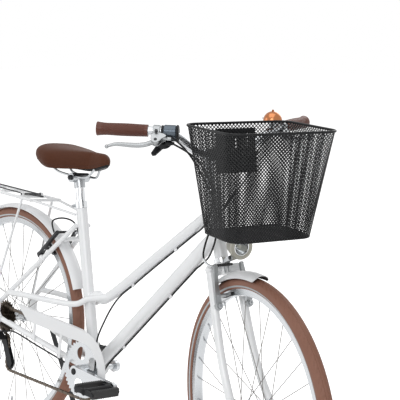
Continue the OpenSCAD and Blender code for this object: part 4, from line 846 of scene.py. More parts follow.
ROUND, ALONG = 176, 150
grip_rings = [[Vector((GRIP_BORE_R * math.cos(a), GRIP_BORE_R * math.sin(a), 0))
               for a in round_angles(ROUND)]]
for z in (GRIP_LEN * i / ALONG for i in range(ALONG + 1)):
    reach = [(a, grip_radius(z, a)) for a in round_angles(ROUND)]
    grip_rings.append([Vector((r * math.cos(a), r * math.sin(a), z)) for a, r in reach])
for s, rise in ((0.93, 1.6), (0.72, 2.4), (0.3, 2.2), (0.05, 2.0)):
    grip_rings.append([Vector((p.x * s, p.y * s, GRIP_LEN + rise)) for p in grip_rings[ALONG + 1]])
for k, side in SIDES:
    made = piece("grip_" + side, join_rings(grip_rings), BARS @ GRIP[k], "front", grip_hide)
    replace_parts(made, "grips")
print("grips:", GRIP_LEN, "mm long,", len(made.data.polygons), "faces each")

# %% [markdown]
# Tyres. One section, from bead to bead, is swept round the wheel. Two grooves run round the tread and
# slanting sipes cut the shoulders. A bump map would leave the outline smooth, so both are real relief. A
# narrow reflective band lies on each side wall.

# %% Tyres
BEAD_R, RING_R = 317.0, WHEEL_R - TYRE_W / 2
LAST_PHI = math.degrees(math.acos((BEAD_R - RING_R) / (TYRE_W / 2)))
BLOCKS, STEPS_PER_BLOCK, ACROSS = 104, 6, 44
GROOVE_DEEP, SIPE_DEEP, SIPE_SHARE = 1.1, 1.0, 0.26
# Degrees across the tyre: a groove's edges, the sipes' outer end, and where a sipe has slanted by one block
GROOVE_FROM, GROOVE_TO, SIPE_TO, SIPE_SLANT = 9, 15, 52, 40
phis = [-LAST_PHI + 2 * LAST_PHI * k / ACROSS for k in range(ACROSS + 1)]


def tread(phi, turn_deg):
    """How deep the tread is cut at an angle across the tyre and round it, in millimetres."""
    side = abs(phi)
    if GROOVE_FROM < side < GROOVE_TO:
        return GROOVE_DEEP
    if GROOVE_TO <= side < SIPE_TO:
        phase = (turn_deg / 360 * BLOCKS + side / SIPE_SLANT) % 1
        return SIPE_DEEP if phase < SIPE_SHARE else 0.0
    return 0.0


def wheel_out(a):
    """The direction from an axle out to an angle round its wheel."""
    return Vector((math.cos(a), 0, math.sin(a)))


def on_tyre(middle, a, phi, r):
    """A point at angle a round the wheel and phi degrees across the tyre, r from its section's middle."""
    phi = math.radians(phi)
    return middle + wheel_out(a) * (RING_R + r * math.cos(phi)) + Vector((0, r * math.sin(phi), 0))


def tyre_shape(middle):
    rings = []
    for a in round_angles(BLOCKS * STEPS_PER_BLOCK):
        rings.append([on_tyre(middle, a, phi, TYRE_W / 2 - tread(phi, math.degrees(a))) for phi in phis])
    return join_rings(rings, closed=True)


# A band's section: degrees across the tyre, and how far it stands out of the rubber
BAND = ((103, 0.0), (104, 0.3), (116, 0.3), (117, 0.0))
BAND_STEPS = 180


def band_shape(middle):
    parts = []
    for sign in (-1, 1):
        rings = [[on_tyre(middle, a, sign * phi, TYRE_W / 2 + lift) for phi, lift in BAND]
                 for a in round_angles(BAND_STEPS)]
        parts.append(join_rings(rings, closed=True))
    return merged(*parts)


wheels = (("front", front_axle, BARS), ("rear", rear_axle, BIKE))
for end, middle, place in wheels:
    made = piece(end + "_tyre_tread", tyre_shape(middle), place, end + "_wheel", brown_rubber,
                 crease_angle=math.radians(28))
    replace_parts(made, end + "_tyre")
    piece(end + "_reflex_bands", band_shape(middle), place, end + "_wheel", reflex_band)
print("tyres:", BLOCKS, "tread blocks on each shoulder")

# %% [markdown]
# The brake levers are forged: an oval bar that swells in the middle, turns away at the end and stops in a
# ball. A subdivided box could give such a form, but a loft keeps the widths that were chosen. So each is
# lofted along its curve in the grip's frame, with the hub that its pivot pin goes through.

# %% Levers
PIVOT = Vector((31, 0, -22))


def oval_loft(stations, sides=24):
    """Ovals (x, z, half width in the plane, half width across) along a curve in the XZ plane."""
    middles = through([(x, 0, z) for x, z, _, _ in stations], 8)
    sizes = through([(a, b, 0) for _, _, a, b in stations], 8)
    rings = []
    for i, p in enumerate(middles):
        ahead = (middles[min(i + 1, len(middles) - 1)] - middles[max(i - 1, 0)]).normalized()
        flat = Vector((0, 1, 0)).cross(ahead)
        rings.append([p + flat * sizes[i].x * math.cos(a) + Vector((0, sizes[i].y * math.sin(a), 0))
                      for a in round_angles(sides)])
    return join_rings(rings)


def ball_profile(r, steps=14):
    """Half a circle to turn into a ball, with a tiny hole at its poles."""
    angles = [math.pi * k / steps for k in range(steps + 1)]
    return [(-r * math.cos(a), max(0.01, r * math.sin(a))) for a in angles]


BLADE = [(30, -25, 6.5, 5.0), (34, -14, 6.5, 5.2), (41, 0, 6.2, 6.2), (45, 18, 6.0, 6.8),
         (45.5, 42, 5.6, 6.6), (44.5, 66, 4.8, 6.0), (45.5, 80, 4.2, 5.2), (49.5, 91, 3.8, 4.4),
         (53, 97, 3.5, 3.8)]
BALL_R, BALL_AT = 5.2, (53, 0, 98)
across = Matrix.Rotation(math.pi / 2, 4, "X")
hub = turned([(-5.4, 3.2), (-5.4, 7.2), (-4.6, 8.0), (4.6, 8.0), (5.4, 7.2), (5.4, 3.2)],
             Matrix.Translation(PIVOT) @ across)
tip = turned(ball_profile(BALL_R), Matrix.Translation(BALL_AT), 24, closed_profile=False)
for k, side in SIDES:
    made = piece("lever_blade_" + side, merged(oval_loft(BLADE), hub, tip), BARS @ GRIP[k], "lever_" + side,
                 satin_alloy)
    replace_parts(made, "lever_" + side)
print("levers:", len(made.data.polygons), "faces each")

# %% [markdown]
# Bent tubes. The main tube, the twin stays and the handlebar are bends in one piece, so each is swept again
# along its own centre line with enough rings to stay round in a close view.

# %% Bent tubes
MAIN_D, TWIN_D, BAR_D = 30.0, 18.0, 22.2
DROP_Y = 67.5


def on_seat(s, f=0.0, y=0.0):
    """A point s up the seat tube's axis from the bottom bracket, f ahead of it and y to the left."""
    return bb + seat_dir * s + seat_fwd * f + Vector((0, y, 0))


MAIN_S, MAIN_BEND_F, MAIN_TOP_S = 200.0, 92.0, 533.6
MAIN_STEPS = 14
main_bend = on_seat(MAIN_S, MAIN_BEND_F) + Vector((0, 0, 4))
main_top = on_head(MAIN_TOP_S)
main_knots = [main_top, (main_top + main_bend) / 2, main_bend, on_seat(MAIN_S + 12, 40), on_seat(MAIN_S)]
main_centre = through(main_knots, MAIN_STEPS)
main_skin = piece("main_tube_bend", tube(main_centre, MAIN_D / 2, 40), BIKE, "frame", white_enamel)
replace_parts(main_skin, "main_tube")
print("main tube's bend at", tuple(round(c) for c in main_bend))

# %% Twin stays
# A twin stay grows out of the main tube's side: it starts inside the tube and tapers as it leaves
TWIN_STEPS = 12
ROOT_RINGS = (22, 25)
TUBE_T, SKIN_GAP = 1.8, 0.6
twin_side = (MAIN_D - TWIN_D) / 2 - TUBE_T
root_extra = MAIN_D / 2 - SKIN_GAP - TWIN_D / 2
twin_parts = []
for k in (LEFT, RIGHT):
    knots = [*(main_centre[ring] for ring in ROOT_RINGS), main_bend + Vector((0, k * twin_side, 0)),
             on_seat(204, 28, k * 26), on_seat(194, -24, k * 37), (240, k * 48, WHEEL_R + 106),
             (130, k * 57, WHEEL_R + 98), (48, k * (DROP_Y - 5), WHEEL_R + 90)]
    route = through(knots, TWIN_STEPS)
    left_root = [eased((i / TWIN_STEPS - 1) / 2) for i in range(len(route))]
    twin_parts.append(tube(route, [TWIN_D / 2 + root_extra * (1 - share) for share in left_root], 28))
twin_skin = piece("twin_stay_bends", merged(*twin_parts), BIKE, "frame", white_enamel)
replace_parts(twin_skin, "twin_stays")
print("twin stays:", TWIN_D, "mm tube, from", TWIN_D + 2 * root_extra, "mm inside the main tube")

# %% Handlebar
CLAMP_HALF, BEND_END, BAR_PLUG = 44.0, -46.0, 4.0


def along_grip(k, z):
    return GRIP[k] @ Vector((0, 0, z))


def bar_side(k):
    """Centre line from the clamp to one end of the bar."""
    far = abs(along_grip(LEFT, BEND_END).y)
    bend = [CLAMP_HALF + share * (far - CLAMP_HALF) for share in (0.323, 0.697)]
    knots = [on_head(CLAMP_S, STEM_REACH, k * CLAMP_HALF),
             on_head(CLAMP_S + 0.2 * BAR_RISE, STEM_REACH + 6, k * bend[0]),
             on_head(CLAMP_S + 0.62 * BAR_RISE, STEM_REACH + 19, k * bend[1]), along_grip(k, BEND_END)]
    straight = [along_grip(k, -20), along_grip(k, GRIP_LEN - BAR_PLUG)]
    return [on_head(CLAMP_S, STEM_REACH)] + through(knots, 12) + straight


bar_line = bar_side(RIGHT)[:0:-1] + bar_side(LEFT)
bar_skin = piece("handlebar_bend", tube(bar_line, BAR_D / 2, 32), BARS, "front", polished_alloy)
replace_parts(bar_skin, "handlebar")
print("handlebar:", round(2 * BAR_HALF), "mm over the grips,", len(bar_line), "rings")

# %% [markdown]
# Lever brackets and the shifter. The real brackets are cast. Cutting them from a block with booleans would
# leave untidy faces, so a plate maker takes an outline in the grip's XZ plane and gives it a thickness and
# a small bevel: two cheeks, a web and a clamp band make a bracket. The shifter's cover wraps the bar.

# %% Plates with rounded outlines


def plate(outline, y0, y1, bevel=0.8):
    """An outline of (x, z) points as a plate from y0 to y1 with bevelled edges."""
    cx = sum(x for x, _ in outline) / len(outline)
    cz = sum(z for _, z in outline) / len(outline)
    reach = max(math.hypot(x - cx, z - cz) for x, z in outline)
    small = 1 - bevel / reach
    rings = [[Vector((cx + (x - cx) * s, y, cz + (z - cz) * s)) for x, z in outline]
             for s, y in ((small, y0), (1, y0 + bevel), (1, y1 - bevel), (small, y1))]
    return join_rings(rings)


def rounded(outline, steps=5):
    """The outline's corners turned into curves."""
    knots = [Vector((x, 0, z)) for x, z in outline]
    n = len(knots)
    out = []
    for i, p in enumerate(knots):
        a, b = (p + knots[i - 1]) / 2, (p + knots[(i + 1) % n]) / 2
        out += [a.lerp(p, t).lerp(p.lerp(b, t), t) for t in (k / steps for k in range(steps))]
    return [(q.x, q.z) for q in out]


CHEEK = rounded([(11, -12), (25, -9), (37, -12), (41, -22), (37, -31), (27, -37), (22, -48), (16, -48),
                 (10, -34)])
WEB = rounded([(9, -11), (22, -11), (22, -33), (23, -47), (16, -47), (9, -33)])
print("a bracket's cheek has", len(CHEEK), "points")

# %% Lever brackets
CHEEK_IN, CHEEK_OUT, WEB_HALF = 6.1, 9.8, 6.6
CABLE_X = 21
band = turned([(-31, 11.3), (-31, 14.6), (-29.8, 15.8), (-14.2, 15.8), (-13, 14.6), (-13, 11.3)], Matrix())
barrel = turned([(-60, 2.6), (-60, 4.4), (-56, 5.2), (-50, 5.2), (-48.5, 4.2), (-44, 4.2), (-44, 2.6)],
                Matrix.Translation((CABLE_X, 0, 0)), 28)
cheeks = [plate(CHEEK, CHEEK_IN, CHEEK_OUT), plate(CHEEK, -CHEEK_OUT, -CHEEK_IN),
          plate(WEB, -WEB_HALF, WEB_HALF)]
pin = turned([(-11, 0.1), (-11, 3.4), (-10.2, 4.2), (-9.7, 4.2), (9.7, 4.2), (10.2, 4.2), (11, 3.4),
              (11, 0.1)], Matrix.Translation(PIVOT) @ across, 24)
bolt = turned([(-4, 0.1), (-4, 3.6), (-3.2, 4.2), (3, 4.2), (4, 3.4), (4, 1.8), (2, 1.8), (2, 0.1)],
              Matrix.Translation((9, 13, -22)) @ across, 24)
for k, side in SIDES:
    made = piece("lever_bracket_" + side, merged(band, *cheeks, barrel), BARS @ GRIP[k], "front",
                 satin_alloy)
    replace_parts(made, "lever_brackets")
    piece("bracket_screws_" + side, merged(pin, bolt), BARS @ GRIP[k], "front", dark_steel)
print("lever brackets:", len(made.data.polygons), "faces each")

# %% Shifter
COVER = rounded([(-15, -16), (-6, -29), (12, -29), (16.4, -14), (16, 8), (8, 17), (-8, 17), (-16, 8)], 6)
lie_along = Matrix(((1, 0, 0, 0), (0, 0, 1, 0), (0, 1, 0, 0), (0, 0, 0, 1)))


def along_bar(outline, z0, z1, bevel):
    """The plate maker turned, so that an (x, y) outline runs along the bar from z0 to z1."""
    points, faces = plate(outline, z0, z1, bevel)
    return [lie_along @ p for p in points], [tuple(reversed(f)) for f in faces]


def scaled(outline, s):
    return [(x * s, y * s) for x, y in outline]


GEAR_EXIT = (19, -24)
on_right = BARS @ GRIP[RIGHT]
cover_skin = piece("shifter_cover", along_bar(COVER, -72, -39, 3.0), on_right, "front", anodised_grey)
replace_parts(cover_skin, "shifter_body")
neck = along_bar(scaled(COVER, 0.9), -39, -33.5, 1.0)
ends = along_bar(scaled(COVER, 1.05), -77, -71, 2.0)
pod = turned([(-10, 0.1), (-10, 15), (-4, 20), (2, 20.5), (5, 18), (5.8, 12), (5.8, 4.2), (14, 4.0),
              (14.8, 3.2), (14.8, 0.1)], Matrix.Translation((10, -32, -38)) @ across, 40)
exit_boot = turned([(-66, 2.6), (-66, 3.6), (-58, 5.0), (-48, 6.6), (-44, 6.6), (-44, 2.6)],
                   Matrix.Translation((*GEAR_EXIT, 0)), 24)
piece("shifter_pod", merged(pod, neck, ends, exit_boot), on_right, "front", black_nylon)
print("shifter cover:", len(COVER), "points round")

# %% [markdown]
# Cables. Housings follow their stops and clips, so each is a tube along points given one by one, in the
# upright bicycle's millimetres. The two on the frame are still, and small clips hold them under its tubes.

# %% Cables on the frame
CABLE_R, CLIP_GAP = 2.5, 0.6
DOWN_TOP_S, DOWN_R = 470.7, 20.0
STAY_LEAN = math.radians(39.4)
# The brakes' frames: X round the wheel, Z out from the axle along the fork or the stays
FORK = Matrix.Translation(front_axle) @ Matrix.Rotation(-RAKE, 4, "Y")
STAYS = Matrix.Translation(rear_axle) @ Matrix.Rotation(STAY_LEAN, 4, "Y")
main_line = through(main_knots, 4)
down_p = on_head(DOWN_TOP_S)
down_dir = (bb - down_p).normalized()
down_below = Vector((-down_dir.z, 0, down_dir.x))


def under_main(i, t=0.0):
    """A housing's middle below the main tube, t millimetres on from a point of its line."""
    d = (main_line[i + 1] - main_line[i - 1]).normalized()
    return main_line[i] + d * t + Vector((-d.z, 0, d.x)) * (MAIN_D / 2 + CABLE_R + CLIP_GAP)


def under_down(t, out=0.0):
    """A housing's middle below the down tube, t millimetres from its top."""
    return down_p + down_dir * t + down_below * (DOWN_R + CABLE_R + CLIP_GAP + out)


gear_route = [under_main(i) for i in range(2, 8)] + [
    (474, -2, 486), (454, -8, 440), (446, -22, 385), (454, -27, 330), (454, -27, 290), (438, -27, 256),
    (400, -28, 258), (340, -33, 280), (200, -48, 303), (90, -58, 320), (60, -70, 316), (40, -77, 313),
    (17, -77, 312)]
brake_route = [under_down(t) for t in (120, 250, 380, 500, 600)] + [
    (446, 12, 262), (418, 14, 258), (392, 12, 268), (378, 4, 300), on_seat(80, -23), on_seat(130, -20.5),
    on_seat(190, -19.8), on_seat(300, -19.8), on_seat(370, -21), (274, -8, 692), (246, -30, 706),
    (222, -54, 694), STAYS @ Vector((-24, -47, 383))]
housing = merged(*[tube(through(route, 8), CABLE_R, 14) for route in (gear_route, brake_route)])
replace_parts(piece("frame_housings", housing, BIKE, "frame", cable_black), "frame_cables")

# Moulded white clips hold the housing under the main tube and the down tube
clip_profile = [(-6, 2.6), (-6, 3.6), (-5, 4.4), (5, 4.4), (6, 3.6), (6, 2.6)]
clip_places = [(under_main(i), main_line[i + 1] - main_line[i - 1]) for i in (3, 6)]
clip_places += [(under_down(t), down_dir) for t in (250, 500)]
clips = [turned(clip_profile, aimed(p, way, (0, 1, 0)), 24) for p, way in clip_places]
piece("cable_clips", merged(*clips), BIKE, "frame", white_moulded)
print("clips:", len(clips))

# %% [markdown]
# The two loops that cross from the bars to the frame have to bend when the bars turn. Here they run from
# the frame at their lower end to the bars as they stand at their upper end, and each is baked as one still
# mesh on no body. The bent pipe at the front brake is made the same way, between the fork and the brake's arm.

# %% Cables that bend
bars_turned = BIKE.inverted() @ BARS


def from_grip(k, x, y, *along):
    """Where a cable leaves a bracket: two points beside the bar, in the bars' millimetres."""
    return [GRIP[k] @ Vector((x, y, z)) for z in along]


gear_loop = [bars_turned @ p for p in from_grip(RIGHT, *GEAR_EXIT, -44.7, -60.7)]
gear_loop += [(868, -110, 960), (880, -60, 890), (858, -34, 815), (818, -16, 778), under_main(2, -18),
              under_main(2, -1)]
brake_loop = [bars_turned @ p for p in from_grip(RIGHT, CABLE_X, 0, -45.9, -65.9)]
brake_loop += [(880, -140, 965), (902, -72, 865), (896, -42, 780), (859, -18, 714), under_down(100, 2.5),
               under_down(119)]
for name, route in (("gear_loop", gear_loop), ("brake_loop", brake_loop)):
    made = piece(name, tube(through(route, 10), CABLE_R, 14), BIKE, None, cable_black)
    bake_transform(made)
    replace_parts(made, "cable_loops")

PIPE_R = 3.0
front_route = from_grip(LEFT, CABLE_X, 0, -45.9, -65.9) + [
    (905, 120, 1025), (915, 75, 985), (915, 55, 930), (912, 5, 870), (905, -42, 800), (908, -66, 740),
    (914, -64, 712), FORK @ Vector((-20, -50, 383))]
front_line = through(front_route, 10)
front_housing = piece("front_brake_housing", tube(front_line[:-13], CABLE_R, 14), BARS, "front", cable_black)
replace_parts(front_housing, "front_brake_cable")
noodle_line = front_line[-15:] + [FORK @ Vector((-20, -40, 384))]
noodle = piece("brake_noodle", tube(noodle_line, PIPE_R, 16), BARS, None, polished_alloy)
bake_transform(noodle)
print("front brake line:", round(sum((b - a).length for a, b in zip(front_line, front_line[1:]))), "mm")

# %% [markdown]
# The headlamp. Its shell is moulded plastic with a wide silver face and a small clear lens. A mirrored dish
# and a bulb sit behind the lens. Each is a profile turned about the lamp's axis, as such shells are, and
# the lens is clear all through, so the dish shows behind it.

# %% Headlamp
CROWN_S = 362.09
LAMP_UP, LAMP_AHEAD = 72, 65
lamp_back = on_head(CROWN_S + LAMP_UP, LAMP_AHEAD)
lamp_pin = lamp_back + Vector((8, 0, -34.5))
lamp_axis = aimed(lamp_back, (1, 0, 0))
# Moulded acrylic: clear and smooth.
clear_acrylic = finish("clear acrylic lens", "#F6F8F8", 0.03, grain_mm=4.0, bump_mm=0.004, spread=0.01,
                       transmission_weight=1.0, ior=1.49)
# Frosted glass: a warm white that hides the filament.
bulb_glass = finish("frosted bulb glass", "#E8E4D2", 0.3, grain_mm=0.6, bump_mm=0.004)
shell = turned([(-4, 0.1), (-3.6, 6), (-2, 12), (3, 17.4), (10, 22), (24, 26.6), (37.4, 29.6), (38, 29),
                (39.4, 29), (40, 31), (41, 31.5), (50.4, 31.5), (51.6, 30.8), (52, 29.6), (51.2, 24),
                (50.4, 20.4), (48.8, 19.4), (47, 19.2), (46, 18.2), (30, 16), (8, 10), (0, 0.1)],
               lamp_axis, 80)


def ring_profile(along, radius, thick, sides=12):
    """A round wire of the given thickness, for a ring at a radius."""
    return [(along + thick / 2 * math.cos(a), radius + thick / 2 * math.sin(a)) for a in round_angles(sides)]


TAB = rounded([(-7, -7), (7, -7), (7, 22), (-7, 22)])
tab = plate([(lamp_pin.x + x, lamp_pin.z + z) for x, z in TAB], -4, 4)
lamp_shell = piece("lamp_shell", merged(shell, tab), BARS, "headlamp", lamp_silver)
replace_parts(lamp_shell, "headlamp")
dish = turned([(28, 3.2), (29, 6), (32, 10.5), (37, 14.6), (42, 17), (46.8, 18.8), (46.2, 19.1),
               (41.4, 17.7), (36, 15.3), (31, 11.2), (28, 6.6), (27.2, 3.2)], lamp_axis, 64)
lens_ring = turned(ring_profile(50.7, 19.8, 2.4), lamp_axis, 72)
piece("lamp_dish", merged(dish, lens_ring), BARS, "headlamp", chrome_plate)
bulb = turned([(26, 0.1), (26, 3), (34, 3), (36, 4), (39, 4.6), (42, 4), (44, 2.4), (44.8, 0.1)],
              lamp_axis, 32)
piece("lamp_bulb", bulb, BARS, "headlamp", bulb_glass)
lens = turned([(48.2, 18.9), (49.1, 18.9), (50.3, 15), (51.2, 9), (51.6, 0.1), (50.2, 0.1), (49.9, 9),
               (49, 15)], lamp_axis, 72)
piece("lamp_lens", lens, BARS, "headlamp", clear_acrylic)
print("lamp's back at", tuple(round(c) for c in lamp_back))

# %% Headlamp's bracket
# Two straps rise from the fork's crown, behind the brake's boot, and reach forward to the lamp's hinge
STRAP_IN, STRAP_OUT, STRAP_BEVEL = 4.3, 7.3, 0.6
STRAP = rounded([(13, 366), (23, 366), (24.4, 389), (30, 393), (56, 392.4), (65, 394), (67, 401), (60, 406),
                 (50, 403.5), (30, 402.5), (17, 398), (13, 384)])
strap_outline = [(q.x, q.z) for q in (on_head(s, f) for f, s in STRAP)]
straps = [plate(strap_outline, *sorted((s * STRAP_IN, s * STRAP_OUT)), bevel=STRAP_BEVEL)
          for s in (LEFT, RIGHT)]
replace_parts(piece("lamp_straps", merged(*straps), BARS, "front", bright_steel), "lamp_bracket")
hinge = [turned([(0, 0.1), (0, 5), (0.8, 5.6), (3.2, 5.6), (4, 4.8), (4, 2.4), (2, 2.4), (2, 0.1)],
                aimed(lamp_pin + Vector((0, s * STRAP_OUT, 0)), (0, s, 0)), 24) for s in (LEFT, RIGHT)]
piece("lamp_hinge_screw", merged(*hinge), BARS, "front", dark_steel)

# %% [markdown]
# The short front mudguard is a strip of moulded plastic with an arched section and thicker, rolled edges. A
# thickness modifier would make it even all over, so the section is drawn with its edges and swept round the
# wheel. Its corners are rounded off at both ends by drawing the strip narrower there. Its inside is a black
# layer.

# %% Front mudguard
GUARD_R, GUARD_HALF, GUARD_DEPTH, GUARD_T = WHEEL_R + 13, 24.5, 17.5, 1.8
LINING_T, LINING_LAP, ROLLED_EDGE, LINING_EDGE = 0.5, 0.1, 1.2, 1.3
GUARD_STEPS, ARCH_STEPS = 57, 16
GUARD_FROM, GUARD_TO, GUARD_CORNER = 88.0, 126.0, 11.0
arch_r = (GUARD_HALF ** 2 + GUARD_DEPTH ** 2) / (2 * GUARD_DEPTH)
arch_half = math.asin(GUARD_HALF / arch_r)


def guard_half(run):
    """Half the strip's width, run millimetres from its nearer end."""
    missing = max(0.0, GUARD_CORNER - run)
    return GUARD_HALF - GUARD_CORNER + math.sqrt(GUARD_CORNER ** 2 - missing ** 2)


def guard_ring(turn_deg, over, under, edge):
    """The arched section at one turn, over to under millimetres below its top, thicker at its sides by edge
    millimetres."""
    run = math.radians(min(turn_deg - GUARD_FROM, GUARD_TO - turn_deg)) * GUARD_R
    widest = math.asin(guard_half(run) / arch_r)
    angles = [widest * k / ARCH_STEPS for k in range(-ARCH_STEPS, ARCH_STEPS + 1)]
    outer = [(arch_r - over, a) for a in angles]
    inner = [(arch_r - under - edge * abs(a / arch_half) ** 14, a) for a in reversed(angles)]
    out = wheel_out(math.radians(turn_deg))
    return [front_axle + out * (GUARD_R - arch_r + r * math.cos(a)) + Vector((0, r * math.sin(a), 0))
            for r, a in outer + inner]


def guard_strip(over, under, edge):
    turns = [GUARD_FROM + (GUARD_TO - GUARD_FROM) * t for t in cosine_shares(GUARD_STEPS)]
    return join_rings([guard_ring(turn_deg, over, under, edge) for turn_deg in turns])


guard_skin = piece("front_guard_strip", guard_strip(0, GUARD_T, ROLLED_EDGE), BARS, "front", white_moulded)
lining = guard_strip(GUARD_T - LINING_LAP, GUARD_T + LINING_T, LINING_EDGE)
piece("front_guard_lining", lining, BARS, "front", black_nylon)
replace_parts(guard_skin, "front_mudguard")
print("mudguard strip:", len(guard_skin.data.polygons), "faces")

# %% [markdown]
# Rim brakes. Each arm is forged, turns on a boss and carries a curved rubber block in an alloy shoe. An arm
# is a rounded plate with its boss and stud, and a block is lofted along the rim's curve, so that it lies
# flat on it.

# %% Shapes of an arm and a block
BOSS_Z, ARM_TOP, BLOCK_R, BLOCK_LEN = 280.0, WHEEL_R + 40, 307.75, 48.0
RIM_FACE, BLOCK_T, BLOCK_EDGE, BLOCK_RINGS = 14.5, 5.0, 0.8, 15
# Moulded brake rubber: a dusty, matte black.
block_rubber = finish("black brake rubber", "#1A1A1B", 0.6, grain_mm=0.8, bump_mm=0.03, tone="#242425")
turned_flat = Matrix(((0, 1, 0, 0), (1, 0, 0, 0), (0, 0, 1, 0), (0, 0, 0, 1)))


def arm_shape(k, x, boss_y):
    """A forged arm beside the wheel, with its boss and the stud that holds the block."""
    outline = rounded([(k * (boss_y + dy), z) for dy, z in (
        (-8, BOSS_Z - 11), (8, BOSS_Z - 11), (9, BOSS_Z + 12), (6.5, BOSS_Z + 34), (4, BOSS_Z + 62),
        (-1, ARM_TOP - 8), (-2, ARM_TOP + 1), (-12, ARM_TOP + 1), (-12, ARM_TOP - 12), (-7, BOSS_Z + 60),
        (-7, BOSS_Z + 34), (-9, BOSS_Z + 12))], 6)
    points, faces = plate(outline, x - 4, x + 4, 1.6)
    boss = turned([(-7, 4.2), (-7, 8.4), (-6, 9.4), (5.6, 9.4), (6.6, 8.4), (6.6, 4.2)],
                  aimed((x, k * boss_y, BOSS_Z), (1, 0, 0)), 36)
    reach = boss_y - 4 - RIM_FACE - BLOCK_T
    stud = turned([(0, 0.1), (0, 4), (reach, 4), (reach, 0.1)],
                  aimed((x, k * (boss_y - 4), block_z(x)), (0, -k, 0)), 24)
    return merged(([turned_flat @ p for p in points], faces), boss, stud)


def block_z(x):
    """How far out from the axle's height a block lies, x round the wheel from the fork or the stays."""
    return math.sqrt(BLOCK_R ** 2 - x * x)


def block_shape(k, x, inner, outer, low, high):
    """A block curved with the rim, between two distances from the wheel's middle plane."""
    near, far = inner + BLOCK_EDGE, outer - BLOCK_EDGE
    section = ((inner, -0.8), (inner, 0.8), (near, 1), (far, 1), (outer, 0.8), (outer, -0.8), (far, -1),
               (near, -1))
    rings = []
    for i in range(BLOCK_RINGS):
        u = -1 + 2 * i / (BLOCK_RINGS - 1)
        at = x + u * BLOCK_LEN / 2
        middle = block_z(at) + (low + high) / 2
        half = (high - low) / 2 * (1 - 0.28 * abs(u) ** 8)
        rings.append([Vector((at, k * y, middle + z * half)) for y, z in section])
    return join_rings(rings)


def bolt_head(at, along, radius, height):
    """A domed socket-head bolt, with its six-sided socket's rim as a turned recess."""
    profile = [(-1, 0.1), (-1, radius), (height - 0.8, radius), (height, radius - 0.8),
               (height, radius * 0.48), (height * 0.4, radius * 0.44), (height * 0.4, 0.1)]
    return turned(profile, aimed(at, along, (0.3, 0.5, 0.8)), 24)


print("brake blocks:", BLOCK_LEN, "mm long,", round(block_z(0) - block_z(BLOCK_LEN / 2), 2), "mm curved")

# %% [markdown]
# A rubber boot covers the bare wire between a brake's arms. The boot sits on one arm and the wire is
# clamped to the other, so the wire slides into the boot as the arms close. Both are tubes, and the boot's
# folds are a radius that swells and shrinks along it.

# %% Shapes of a boot and its wire
WIRE_Z, WIRE_R = ARM_TOP - 4, 0.8
BOOT_R, BOOT_FOLD, BOOT_STEPS, STEPS_PER_FOLD = 3.0, 1.3, 36, 4
# How far inside the bosses the boot's seat, its mouth and the wire's clamp lie
SEAT_IN, MOUTH_IN, CLAMP_IN = 8, 33, 9
# The boot's last rings shrink to its mouth
MOUTH_FROM, MOUTH_SHARE = 34, 0.4
folds = [abs(math.sin(math.pi * i / STEPS_PER_FOLD)) * (1 if i < MOUTH_FROM else MOUTH_SHARE)
         for i in range(BOOT_STEPS + 1)]


def boot_shape(x, boss_y):
    """The bellows, from the right arm's top towards the left arm."""
    seat, mouth = SEAT_IN - boss_y, boss_y - MOUTH_IN
    route = [(x, seat + (mouth - seat) * i / BOOT_STEPS, WIRE_Z) for i in range(BOOT_STEPS + 1)]
    return tube(route, [BOOT_R + BOOT_FOLD * fold for fold in folds], 20)


def wire_shape(x, boss_y):
    """The bare wire, from inside the boot to its clamp on the left arm."""
    inward = (MOUTH_IN + 14, MOUTH_IN, CLAMP_IN, CLAMP_IN - 4)
    return tube([(x, boss_y - y, WIRE_Z) for y in inward], WIRE_R, 10)


print("a boot has", BOOT_STEPS // STEPS_PER_FOLD, "folds")

# %% Both brakes
# For each brake: its place before the fork or stays, its bosses' half spacing, its frame and its finish
brakes = (("front", -20.0, 45.0, BARS @ FORK, satin_alloy), ("rear", -24.0, 41.0, BIKE @ STAYS, dark_steel))
for end, x, boss_y, place, arm_coat in brakes:
    for k, side in SIDES:
        body = f"{end}_arm_{side}"
        arm = piece(f"{end}_brake_arm_{side}", arm_shape(k, x, boss_y), place, body, arm_coat)
        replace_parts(arm, body)
        block = block_shape(k, x, RIM_FACE, RIM_FACE + BLOCK_T, -5, 4)
        piece(f"{end}_brake_block_{side}", block, place, body, block_rubber)
        shoe = block_shape(k, x, RIM_FACE + BLOCK_T - 0.4, RIM_FACE + BLOCK_T + 2, -4.4, 3.4)
        piece(f"{end}_brake_shoe_{side}", shoe, place, body, satin_alloy)
        heads = [bolt_head((x + 6.6, k * boss_y, BOSS_Z), (1, 0, 0), 5.6, 4.5),
                 bolt_head((x, k * (boss_y - 1), block_z(x)), (0, k, 0), 4.6, 4)]
        if k == LEFT:
            heads.append(bolt_head((x + 4, k * (boss_y - 7), WIRE_Z), (1, 0, 0), 4.4, 4))
        piece(f"{end}_brake_bolts_{side}", merged(*heads), place, body, bright_steel)
    right_arm, left_arm = end + "_arm_right", end + "_arm_left"
    piece(end + "_brake_boot", boot_shape(x, boss_y), place, right_arm, block_rubber)
    piece(end + "_brake_wire", wire_shape(x, boss_y), place, left_arm, bright_steel)

# %% [markdown]
# The chain. Links set along a curve at a fixed spacing wouldn't meet where the loop closes. So the loop is
# worked out as a belt round the chainring, the cog and the two jockey wheels, and cut into an even number
# of equal steps. Every step gets a pair of plates, inner and outer in turn, and every joint a roller and a
# pin.

# %% Chain's loop
PITCH, CHAIN_Y = 12.7, -46.0
RING_TEETH, COG_TEETH, JOCKEY_TEETH = 42, 18, 11
ARC_STEPS = 40


def pitch_radius(teeth):
    return PITCH / (2 * math.sin(math.pi / teeth))


